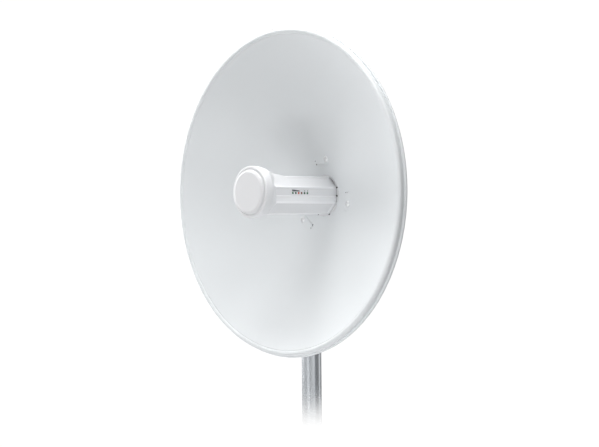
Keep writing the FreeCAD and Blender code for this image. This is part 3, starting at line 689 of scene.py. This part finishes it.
def make_mouth_rims():
    """Flush rims between the socket's bore and the tube, open at the notches and beside the upper facets."""
    inner = 37.15 * MM
    outer = 39.7 * MM
    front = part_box("feed_socket")[0].y + 0.1 * MM
    back = front + 1.8 * MM
    steps = 12
    points, faces = [], []
    for facet, first, last in RIM_STRETCHES:
        faces.extend(shifted(tube_faces(steps + 1, 4), len(points)))
        for k in range(steps + 1):
            lean = radians(first + (last - first) * k / steps)
            turn = radians(facet) + lean
            flat = inner / cos(lean)
            for radius, y in ((flat, front), (outer, front), (outer, back), (flat, back)):
                points.append(vec(dish_x + radius * cos(turn), y, radius * sin(turn) - feed_drop))
    piece = make_piece("socket_rims", points, faces, "dish", socket_white)


def make_notch_shade_pieces():
    """Small dark pieces standing in the notches of the socket's mouth, in the black rubber material: painted
    shade for the shadowed gaps there.
    """
    points, faces = [], []
    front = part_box("feed_socket")[0].y
    for degrees in notch_shade_angles:
        from_facet = radians((degrees + half_facet) % facet_turn - half_facet)
        x, z = on_feed_axis(notch_shade_reach / cos(from_facet), degrees)
        rod_mesh(points, faces, x, z, notch_shade_radius, front - notch_shade_proud, front + notch_shade_deep)
    piece = make_piece("painted_notch_shade", points, faces, "dish", seal_rubber, 60.0)


def make_shroud_skin():
    """Shoulder all round, and the fairing that runs back along the top of the tube."""
    corner_z = upper_flats / 2 * tan(pi / 8) - feed_drop
    edge_angle = atan2(corner_z, lower_flats / 2)
    half = 96
    angles = [edge_angle + (pi - 2 * edge_angle) * i / half for i in range(half + 1)]
    angles += [pi - edge_angle + (pi + 2 * edge_angle) * i / half for i in range(1, half)]
    around = len(angles)
    stations = spaced(ring_back - 1 * MM, shoulder_end, 22) + [shoulder_end]
    fairing = spaced(shoulder_end, ramp_end, 40)[1:] + [ramp_end]
    points = []
    for t in stations + fairing:
        for angle in angles:
            r = skin_radius(angle, t)
            points.append(vec(dish_x + r * cos(angle), tip_y + t, r * sin(angle)))
    faces = quads(len(stations), around)
    for row in range(len(stations) - 1, len(stations) + len(fairing) - 1):
        for i in range(half):
            a = row * around + i
            faces.append((a, a + 1, a + 1 + around, a + around))
    mesh = bpy.data.meshes.new("horn_shroud_skin")
    mesh.from_pydata([tuple(p) for p in points], [], faces)
    finish_mesh(mesh, 50.0)
    piece = add_object("horn_shroud_skin", mesh, "dish", feed_white)
    wall = piece.modifiers.new("wall", "SOLIDIFY")
    wall.thickness = 1.2 * MM
    wall.offset = -1.0
    apply_modifiers(piece, 40.0)
    stand_for("horn_shroud")


def make_shroud_ring():
    """The plain ring in front of the shoulder."""
    front = tip_y + ring_front
    back = tip_y + ring_back
    lip = cap_r + 1.2 * MM
    bore = ring_r - 2.4 * MM
    corners = [(lip, front, 0.5 * MM), (ring_r, front, 3.0 * MM), (ring_r, back, 0.3 * MM), (bore, back, 0),
               (bore, front + 4 * MM, 0.3 * MM), (lip, front + 4 * MM, 0.3 * MM)]
    piece = revolved("horn_ring", corners, feed_white)


def make_feed_cap():
    """Front disc with a rolled edge, and the skirt inside the ring."""
    t = tip_y
    edge = cap_r
    skirt_r = 44.6 * MM
    foot_r = 47.3 * MM
    centre_r = 0.05 * MM
    foot_front, foot_back = t + 12 * MM, t + 15 * MM
    corners = [(centre_r, t, 0), (edge - 5.5 * MM, t, 4 * MM), (edge - 1.2 * MM, t + 2.4 * MM, 2.0 * MM),
               (edge, t + 6.5 * MM, 0.4 * MM), (skirt_r, t + 6.8 * MM, 0.2 * MM),
               (skirt_r, foot_front, 0.2 * MM), (foot_r, foot_front, 0.3 * MM),
               (foot_r, foot_back, 0.3 * MM), (edge - 2 * MM, foot_back, 0.2 * MM),
               (edge - 2 * MM, t + 5 * MM, 1 * MM), (centre_r, t + 2.4 * MM, 0)]
    piece = revolved("feed_cap_skin", corners, cap_white)
    stand_for("feed_cap")


def rod_mesh(points, faces, x, z, radius, start, end, around=20):
    """Adds a round-ended rod along Y to a growing mesh."""
    tip = radius * 0.8
    rings = [(0.35, start - tip), (0.8, start - 0.6 * tip), (1.0, start), (1.0, end), (0.8, end + 0.6 * tip),
             (0.35, end + tip)]
    faces.extend(shifted(tube_faces(len(rings), around), len(points)))
    for share, y in rings:
        for turn in full_turn(around):
            points.append(vec(x + radius * share * cos(turn), y, z + radius * share * sin(turn)))


def make_ridges():
    """Moulded beads along the octagon's corners and along the parting line, in a lighter white that paints a
    highlight on them.
    """
    points, faces = [], []
    root = vertex_y - 4.5 * MM
    shoulder_y = tip_y + shoulder_end + 1 * MM
    for i in range(8):
        turn = radians(half_facet + facet_turn * i)
        flats = upper_flats if sin(turn) > 0 else lower_flats
        centre = flats / 2 / cos(pi / 8) - (ridge_r - ridge_rise)
        under_fairing = sin(turn) > 0.8
        start = tip_y + ramp_end - 4 * MM if under_fairing else shoulder_y
        rod_mesh(points, faces, dish_x + centre * cos(turn), centre * sin(turn) - feed_drop,
                 ridge_r, start, root)
    label_low, label_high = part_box("status_label")
    lip_x = lower_flats / 2 - (lip_bead_r - lip_bead_rise)
    lip_z = parting_z - lip_bead_r
    gap = 1.5 * MM
    stretches = [(1, shoulder_y, label_low.y - gap), (1, label_high.y + gap, root), (-1, shoulder_y, root)]
    for side, start, end in stretches:
        rod_mesh(points, faces, dish_x + side * lip_x, lip_z, lip_bead_r, start, end, 16)
    piece = make_piece("feed_ridges", points, faces, "dish", ridge_white_painted_highlight, 60.0)


def make_side_panels():
    """Thin matt panels with slanting front ends on the two lower slanting facets."""
    points, faces = [], []
    facet_r = lower_flats / 2 + panel_rise
    half_width = lower_flats / 2 * tan(pi / 8) - 2.6 * MM
    thick = 1.2 * MM
    low_front, high_front = tip_y + 35 * MM, tip_y + 44 * MM
    back = vertex_y - 12 * MM
    for side in (-1, 1):
        turn = radians(-90 + side * facet_turn)
        out = vec(cos(turn), 0, sin(turn))
        along = vec(-sin(turn), 0, cos(turn)) * side
        corners = []
        for depth in (thick, 0.0):
            for share, front in ((-1, low_front), (1, high_front)):
                edge = out * (facet_r - depth) + along * (half_width * share) + vec(dish_x, 0, -feed_drop)
                corners += [edge + vec(0, front, 0), edge + vec(0, back, 0)]
        add_block(points, faces, corners)
    piece = make_piece("feed_side_panels", points, faces, "dish", panel_grey)


LAMP_COLOURS = [(0.02, 0.14, 0.05), (0.01, 0.08, 0.03), (0.50, 0.07, 0.03), (0.14, 0.02, 0.01),
                (0.005, 0.06, 0.03), (0.02, 0.12, 0.06)]


def make_lamps():
    """Six domed light-pipe ends in the label."""
    low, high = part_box("led_light_pipes")
    pipe_r = 1.5 * MM
    first = low.y + pipe_r
    pitch = (high.y - low.y - 2 * pipe_r) / (len(LAMP_COLOURS) - 1)
    z = high.z - pipe_r
    rings = [(1.0, -2.4), (1.0, 0.0), (0.96, 0.04), (0.75, 0.10), (0.4, 0.132)]
    around = 24
    for number, colour in enumerate(LAMP_COLOURS):
        y = first + pitch * number
        points = []
        for share, out in rings:
            x, r = high.x + out * MM, lamp_r * share
            points += [vec(x, y + r * cos(a), z + r * sin(a)) for a in full_turn(around)]
        window = lamp_window(f"lamp_glass_{number + 1}", colour)
        faces = tube_faces(len(rings), around)
        lamp = make_piece(f"status_lamp_{number + 1}", points, faces, "dish", window)


def make_label_marks():
    """Plain pictograms above the lamps: a row of signal bars and two port marks."""
    low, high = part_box("status_label")
    ink = 0.1 * MM
    x = high.x + 0.03 * MM
    base = low.z + 5.9 * MM
    bar_count, bar_pitch, bar_width = 9, 2.25 * MM, 2.0 * MM
    bar_height, bar_fall = 3.4 * MM, 0.22 * MM
    port_width, port_floor = 2.4 * MM, 0.7 * MM
    post_width, post_height = 0.8 * MM, 2.2 * MM
    points, faces = [], []

    def add(y_low, y_high, z_low, z_high):
        sides = ((px, py) for px in (x - ink, x) for py in (y_low, y_high))
        add_block(points, faces, [vec(px, py, pz) for px, py in sides for pz in (z_low, z_high)])

    strip_length = 20 * MM
    first = low.y + 2.2 * MM
    for k in range(bar_count):
        left = first + k * bar_pitch
        add(left, left + bar_width, base, base + bar_height - bar_fall * k)
    add(first, first + strip_length, base - 0.2 * MM, base + 1.1 * MM)
    for y in (high.y - 12.4 * MM, high.y - 4.6 * MM):
        add(y, y + port_width, base, base + port_floor)
        add(y, y + post_width, base, base + post_height)
        add(y + port_width - post_width, y + port_width, base, base + post_height)
    piece = make_piece("label_marks", points, faces, "dish", print_ink)


# -------- bolts with real threads
def threaded_rod(name, start, end, body, plain):
    """M8 shank with a helical thread beyond its plain stretch and a chamfered tip."""
    pitch = 1.25 * MM
    around = 28
    steps_per_turn = 4
    axis = (end - start).normalized()
    side = axis.orthogonal().normalized()
    other = axis.cross(side)
    length = (end - start).length
    steps = max(8, int(length / pitch * steps_per_turn))
    depth = 0.6 * pitch
    points = []
    for k in range(steps + 1):
        along = length * k / steps
        for i in range(around):
            share = i / around
            phase = (along / pitch - share) % 1.0
            crest = abs(2 * phase - 1)
            fade = ease((along - plain) / (2 * pitch)) * ease((length - along) / pitch)
            r = m8_r - depth * (1 - crest) * fade
            r -= 0.5 * MM * (1 - ease((length - along) / (0.8 * MM)))
            turn = 2 * pi * share
            points.append(start + axis * along + (side * cos(turn) + other * sin(turn)) * r)
    return make_piece(name, points, tube_faces(steps + 1, around), body, bolt_steel, 60.0)


def hex_head(name, centre, along, body, bore=0.0):
    """Hexagon with chamfered corners, pointing along a vector from centre; a nut if it has a bore."""
    axis = along.normalized()
    height = along.length
    side = axis.orthogonal().normalized()
    other = axis.cross(side)
    around = 72
    corner = hex_flats / sqrt(3)
    levels = [(0.0, 0.96), (0.06, 1.0), (0.80, 1.0), (1.0, 0.86)]
    points = []

    def add(share, turn, r):
        points.append(centre + axis * height * share + (side * cos(turn) + other * sin(turn)) * r)

    for share, limit in levels:
        for turn in full_turn(around):
            add(share, turn, min(hex_flats / 2 / cos(from_flat(turn)), corner * limit))
    faces = (quads if bore else tube_faces)(len(levels), around)
    if bore:
        top = len(levels) * around
        for share in (1.0, 0.0):
            for turn in full_turn(around):
                add(share, turn, bore)
        for i in range(around):
            j = (i + 1) % around
            last = (len(levels) - 1) * around
            faces.append((last + i, last + j, top + j, top + i))
            faces.append((top + i, top + j, top + around + j, top + around + i))
            faces.append((top + around + i, top + around + j, j, i))
    return make_piece(name, points, faces, body, bolt_steel, 25.0)


def solid_boxes(node):
    """Low and high corner of each separate solid in a node, in a fixed order."""
    work = bmesh.new()
    work.from_mesh(frame["nodes"][node].data)
    bmesh.ops.remove_doubles(work, verts=work.verts, dist=2e-6)
    left = set(work.verts)
    boxes = []
    while left:
        stack = [left.pop()]
        island = []
        while stack:
            v = stack.pop()
            island.append(v.co.copy())
            for e in v.link_edges:
                other = e.other_vert(v)
                if other in left:
                    left.remove(other)
                    stack.append(other)
        low = vec(*(min(c[k] for c in island) for k in range(3)))
        high = vec(*(max(c[k] for c in island) for k in range(3)))
        boxes.append((low, high))
    work.free()
    return sorted(boxes, key=lambda b: tuple(round(c, 4) for c in (b[0] + b[1])))


def make_bolts(node, body, axis, plain):
    """Hex heads and threaded shanks in place of a node of identical bolts."""
    for number, (low, high) in enumerate(solid_boxes(node)):
        start = (low + high) / 2
        end = start.copy()
        start[axis] = low[axis] + hex_height
        end[axis] = high[axis]
        back = vec(0, 0, 0)
        back[axis] = -hex_height
        tag = f"{node}_{number + 1}"
        hex_head(tag + "_head", start, back, body)
        threaded_rod(tag + "_shank", start, end, body, plain)
    stand_together(node)


def make_nuts(node, body, axis, bore):
    """Hex nuts in place of a node of identical nuts."""
    for number, (low, high) in enumerate(solid_boxes(node)):
        start = (low + high) / 2
        start[axis] = low[axis]
        along = vec(0, 0, 0)
        along[axis] = high[axis] - low[axis]
        hex_head(f"{node}_{number + 1}", start, along, body, bore)
    stand_together(node)


# -------- tilt scale
def arc_plate(points, faces, centre_y, radii, angles, thick, x_low, steps):
    """Adds a flat piece of a ring, lying across X and centred on the pivot's line."""
    inner, outer = radii
    x_high = x_low + thick
    faces.extend(shifted(tube_faces(steps + 1, 4), len(points)))
    for k in range(steps + 1):
        turn = radians(angles[0] + (angles[1] - angles[0]) * k / steps)
        for x, radius in ((x_low, inner), (x_low, outer), (x_high, outer), (x_high, inner)):
            points.append(vec(x, centre_y + radius * sin(turn), radius * cos(turn)))


def make_tilt_scale():
    """Dark arc beside the upper slot, with a pale mark every five degrees."""
    x_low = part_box("tilt_scale")[0].x
    pivot_low, pivot_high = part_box("pivot_bolt")
    centre_y = (pivot_low.y + pivot_high.y) / 2
    plate_radii = (66.4 * MM, 70.0 * MM)
    plate_angles = (-26.5, 23.4)
    mark_outer = 69.6 * MM
    points, faces = [], []
    arc_plate(points, faces, centre_y, plate_radii, plate_angles, 0.5 * MM, x_low, 48)
    plate_piece = make_piece("tilt_scale_plate", points, faces, "dish", scale_black)
    stand_for("tilt_scale")
    mark_points, mark_faces = [], []
    for degrees in range(-20, 21, 5):
        long_mark = degrees % 10 == 0
        half, inner = (0.5, 66.6 * MM) if long_mark else (0.3, 67.8 * MM)
        arc_plate(mark_points, mark_faces, centre_y, (inner, mark_outer), (degrees - half, degrees + half),
                  0.9 * MM, x_low, 2)
    marks = make_piece("tilt_scale_marks", mark_points, mark_faces, "dish", mark_white)


# -------- release spring
def make_release_spring():
    """Coil spring with closed ends under the latch."""
    low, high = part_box("release_spring")
    middle = (low + high) / 2
    wire = 0.55 * MM
    coil_r = (high.x - low.x) / 2 - wire
    height = high.z - low.z - 2 * wire
    turns = 5
    closing = 0.6
    per_turn = 28
    around = 8
    steps = turns * per_turn
    points = []
    for k in range(steps + 1):
        share = k / steps
        turn = 2 * pi * turns * share
        out = vec(cos(turn), sin(turn), 0)
        rise = height * (share - closing / turns * sin(2 * pi * share) / (2 * pi))
        centre = vec(middle.x, middle.y, low.z + wire + rise) + out * coil_r
        for a in full_turn(around):
            points.append(centre + out * (wire * cos(a)) + vec(0, 0, wire * sin(a)))
    faces = tube_faces(steps + 1, around)
    spring = make_piece("release_spring_coil", points, faces, "dish", bolt_steel, 60.0)
    stand_for("release_spring")
    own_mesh(spring)


# -------- everything
def dress_node(node, material):
    """A CAD node that keeps its own mesh gets a finished material."""
    mesh = frame["nodes"][node].data
    mesh.materials.clear()
    mesh.materials.append(material)


def lift_button_flange():
    """Leaves a hair of room between the pressed button's flange and the floor of its chamber."""
    flange_under = 41.0 * MM
    lift = 0.15 * MM
    for vertex in bpy.data.objects["release_button_skin"].data.vertices:
        if abs(vertex.co.z - flange_under) < 0.5 * MM:
            vertex.co.z += lift


def build_object():
    """Every visible piece: drawn ones first, then bevelled copies, then nodes that keep their own mesh."""
    make_reflector()
    make_pad_end_shade_marks()
    make_reflector_bolts()
    make_shroud_skin()
    make_shroud_ring()
    make_feed_cap()
    make_mouth_rims()
    make_notch_shade_pieces()
    make_ridges()
    make_side_panels()
    make_lamps()
    make_label_marks()
    for node, material, bevel in (
            ("feed_upper_shell", feed_white, 0.25), ("feed_lower_shell", shell_white_painted_light, 0.3),
            ("feed_socket", socket_white, 0.4), ("cable_door", feed_white, 0.3),
            ("dish_bracket", zinc_steel, 0.35), ("mast_bracket", zinc_steel, 0.35),
            ("backing_ring", spacer_grey, 0.4), ("release_button", button_grey, 0.4),
            ("inner_jaw_upper", cast_alloy, 0.6), ("inner_jaw_lower", cast_alloy, 0.6),
            ("outer_jaw_upper", cast_alloy, 0.6), ("outer_jaw_lower", cast_alloy, 0.6),
            ("ethernet_jack", tinned_steel, 0.15), ("cable_seal", seal_rubber, 0.3),
            ("reflector_nuts", bolt_steel, 0.3), ("socket_screws", bolt_steel, 0.25),
            ("release_latch", socket_white, 0.4), ("ground_screw", bolt_steel, 0.3),
            ("clamp_washers_upper", bolt_steel, 0.25), ("clamp_washers_lower", bolt_steel, 0.25),
            ("pivot_washer", bolt_steel, 0.25), ("lock_washers", bolt_steel, 0.25),
            ("shell_screws", bolt_steel, 0.2), ("breather_vent", button_grey, 0.3),
            ("rf_shield", tinned_steel, 0.3)):
        refined(node, material, bevel * MM)
    lift_button_flange()
    across, rearward = 0, 1
    make_bolts("clamp_bolts", "mast_mount", rearward, 30 * MM)
    make_bolts("pivot_bolt", "mast_mount", across, 8 * MM)
    make_bolts("lock_bolts", "mast_mount", across, 8 * MM)
    make_nuts("clamp_nuts_upper", "clamp_upper", rearward, loose_nut_bore)
    make_nuts("clamp_nuts_lower", "clamp_lower", rearward, loose_nut_bore)
    make_nuts("pivot_nut", "mast_mount", across, m8_r)
    make_nuts("lock_nuts", "mast_mount", across, m8_r)
    make_tilt_scale()
    make_release_spring()
    plain_nodes = {
        "cap_gasket": seal_rubber, "subreflector": spun_alloy,
        "radiator_board": green_board, "radiator_posts": socket_white, "signal_leads": tinned_steel,
        "main_board": green_board, "led_light_pipes": label_film, "status_label": label_film,
        "reset_button": button_grey, "board_screws": bolt_steel}
    for node, material in plain_nodes.items():
        dress_node(node, material)


build_object()


# -------- stage: mast, floor, light, camera
def make_mast():
    """The pipe that the clamp holds: a prop, fading out below the dish."""
    radius = 21.2 * MM
    top = 0.135
    bottom = -0.62
    gone_z, solid_z = -0.51, -0.38
    levels = 24
    around = 96
    points = []
    for k in range(levels + 1):
        z = bottom + (top - bottom) * k / levels
        for turn in full_turn(around):
            points.append(vec(radius * cos(turn), radius * sin(turn), z))
    faces = quads(levels + 1, around)
    faces.append(tuple(range(levels * around, (levels + 1) * around)))
    mesh = bpy.data.meshes.new("mast_prop")
    mesh.from_pydata([tuple(p) for p in points], [], faces)
    mesh.shade_smooth()
    mesh.set_sharp_from_angle(angle=radians(40))
    mast = bpy.data.objects.new("mast_prop", mesh)
    bpy.context.scene.collection.objects.link(mast)
    mat, tree, shader = start_material("mast_zinc", (0.56, 0.59, 0.62), 0.26, 0.5)
    vector = object_coords(tree, (1, 1, 0.04))
    streaks = noise_value(tree, vector, 90.0, 4.0, 0.6)
    colour_by(tree, shader, streaks, [(0.3, (0.52, 0.55, 0.58)), (0.7, (0.68, 0.71, 0.74))])
    rough_by(tree, shader, streaks, 0.18, 0.32)
    separate = tree.nodes.new("ShaderNodeSeparateXYZ")
    tree.links.new(object_coords(tree), separate.inputs["Vector"])
    fade = tree.nodes.new("ShaderNodeMapRange")
    fade.interpolation_type = "SMOOTHSTEP"
    fade.inputs["From Min"].default_value = gone_z
    fade.inputs["From Max"].default_value = solid_z
    tree.links.new(separate.outputs["Z"], fade.inputs["Value"])
    tree.links.new(fade.outputs["Result"], shader.inputs["Alpha"])
    mesh.materials.append(mat)


def make_floor():
    """A pale disc far below that catches soft shade."""
    place = (dish_x, -0.1, -1.35)
    bpy.ops.mesh.primitive_circle_add(vertices=128, radius=1.7, fill_type="NGON", location=place)
    floor = bpy.context.active_object
    floor.name = "floor"
    mat, tree, shader = start_material("floor_pale", (0.86, 0.86, 0.87), 0.6)
    add_bump(tree, shader, noise_value(tree, object_coords(tree), 40.0), 0.02, 0.001)
    floor.data.materials.append(mat)


def add_area(name, place, size, power, aim=None):
    """Soft square light, aimed at the dish unless told otherwise."""
    data = bpy.data.lights.new(name, "AREA")
    data.shape = "SQUARE"
    data.size = size
    data.energy = power
    light = bpy.data.objects.new(name, data)
    bpy.context.scene.collection.objects.link(light)
    light.location = place
    light.rotation_mode = "QUATERNION"
    target = Vector(aim or (dish_x, -0.2, 0))
    light.rotation_quaternion = (target - Vector(place)).to_track_quat("-Z", "Y")
    light.visible_camera = False
    return data


# Each light: name, place, size in metres and power in watts.
LIGHTS = [("overhead", (dish_x, -0.4, 2.2), 1.8, 70.5), ("over_left", (-1.6, -0.7, 1.8), 1.2, 10.0),
          ("over_right", (1.8, -0.6, 1.8), 1.2, 13.5), ("far_left", (-2.4, -0.4, 0.2), 1.4, 21.6),
          ("front", (dish_x, -3.2, 0.2), 1.6, 10.0), ("front_right", (2.2, -2.2, 0.5), 1.4, 6.2),
          ("right_side", (2.4, -1.2, 0.3), 1.0, 3.6), ("low_right_side", (2.2, -1.6, -0.5), 1.0, 1.9),
          ("front_left", (-2.0, -2.2, 0.5), 1.4, 0.9), ("low_front", (dish_x, -2.2, -1.2), 1.4, 5.0),
          ("low_spot_right", (0.8, -2.0, -1.1), 0.4, 4.2),
          ("low_spot_middle", (dish_x, -2.2, -1.1), 0.4, 2.0),
          ("low_spot_far_right", (1.4, -1.6, -1.0), 0.4, 1.0), ("behind", (0.3, 2.6, 0.8), 1.8, 12.0)]
MAST_LIGHTS = [("mast_side", (1.3, -0.35, -0.62), 0.9, 0.13), ("mast_back", (0.6, 1.2, -0.7), 1.1, 0.22)]


def make_lights():
    """Lights on the dish, and two narrow weak ones aimed low on the mast."""
    for light in LIGHTS:
        add_area(*light)
    for light in MAST_LIGHTS:
        mast_light = add_area(*light, (0.0, 0.0, -0.5))
        mast_light.spread = radians(35)


# Glow of the surround: strength, and the side that it comes from.
WORLD_SIDES = [(0.70, (-1, 0, 0)), (0.14, (0, 1, 0)), (0.11, (0, -1, 0))]


def add_math(tree, kind, operation, first):
    """A two-input math node with its first input wired."""
    node = tree.nodes.new(kind)
    node.operation = operation
    tree.links.new(first, node.inputs[0])
    return node


def make_world():
    """White surround for the eye; as a light it is stronger from the left."""
    world = bpy.data.worlds.new("studio")
    bpy.context.scene.world = world
    world.use_nodes = True
    tree = world.node_tree
    tree.nodes.clear()
    output = tree.nodes.new("ShaderNodeOutputWorld")
    mix = tree.nodes.new("ShaderNodeMixShader")
    path = tree.nodes.new("ShaderNodeLightPath")
    seen = tree.nodes.new("ShaderNodeBackground")
    seen.inputs["Color"].default_value = (1.0, 1.0, 1.0, 1.0)
    seen.inputs["Strength"].default_value = 1.05
    glow = tree.nodes.new("ShaderNodeBackground")
    glow.inputs["Color"].default_value = (1.0, 1.0, 1.0, 1.0)
    sky = tree.nodes.new("ShaderNodeTexCoord")
    total = None
    for strength, direction in WORLD_SIDES:
        lean = add_math(tree, "ShaderNodeVectorMath", "DOT_PRODUCT", sky.outputs["Generated"])
        lean.inputs[1].default_value = Vector(direction) * strength
        share = add_math(tree, "ShaderNodeMath", "MAXIMUM", lean.outputs["Value"])
        share.inputs[1].default_value = 0.0
        if total:
            both = add_math(tree, "ShaderNodeMath", "ADD", total.outputs["Value"])
            tree.links.new(share.outputs["Value"], both.inputs[1])
            share = both
        total = share
    tree.links.new(total.outputs["Value"], glow.inputs["Strength"])
    tree.links.new(path.outputs["Is Camera Ray"], mix.inputs["Fac"])
    tree.links.new(glow.outputs["Background"], mix.inputs[1])
    tree.links.new(seen.outputs["Background"], mix.inputs[2])
    tree.links.new(mix.outputs["Shader"], output.inputs["Surface"])


def make_camera():
    """Level view from the front right, aimed by its offset from the rim's centre."""
    azimuth = radians(46.96)
    distance = 2.5
    across = 0.0392
    up = -0.0615
    roll = radians(-0.51)
    back = vec(sin(azimuth), -cos(azimuth), 0)
    right = vec(cos(azimuth), sin(azimuth), 0)
    rise = vec(0, 0, 1)
    place = vec(dish_x, crest_y, 0) + back * distance + right * across + rise * up
    turned_right = right * cos(roll) + rise * sin(roll)
    turned_up = rise * cos(roll) - right * sin(roll)
    data = bpy.data.cameras.new("camera")
    data.sensor_width = 36.0
    data.lens = 76.55
    camera = bpy.data.objects.new("camera", data)
    bpy.context.scene.collection.objects.link(camera)
    facing = Matrix((turned_right, turned_up, back)).transposed().to_4x4()
    camera.matrix_world = Matrix.Translation(place) @ facing
    bpy.context.scene.camera = camera


make_mast()
make_floor()
make_world()
make_lights()
make_camera()
bpy.context.scene.view_settings.view_transform = "Standard"
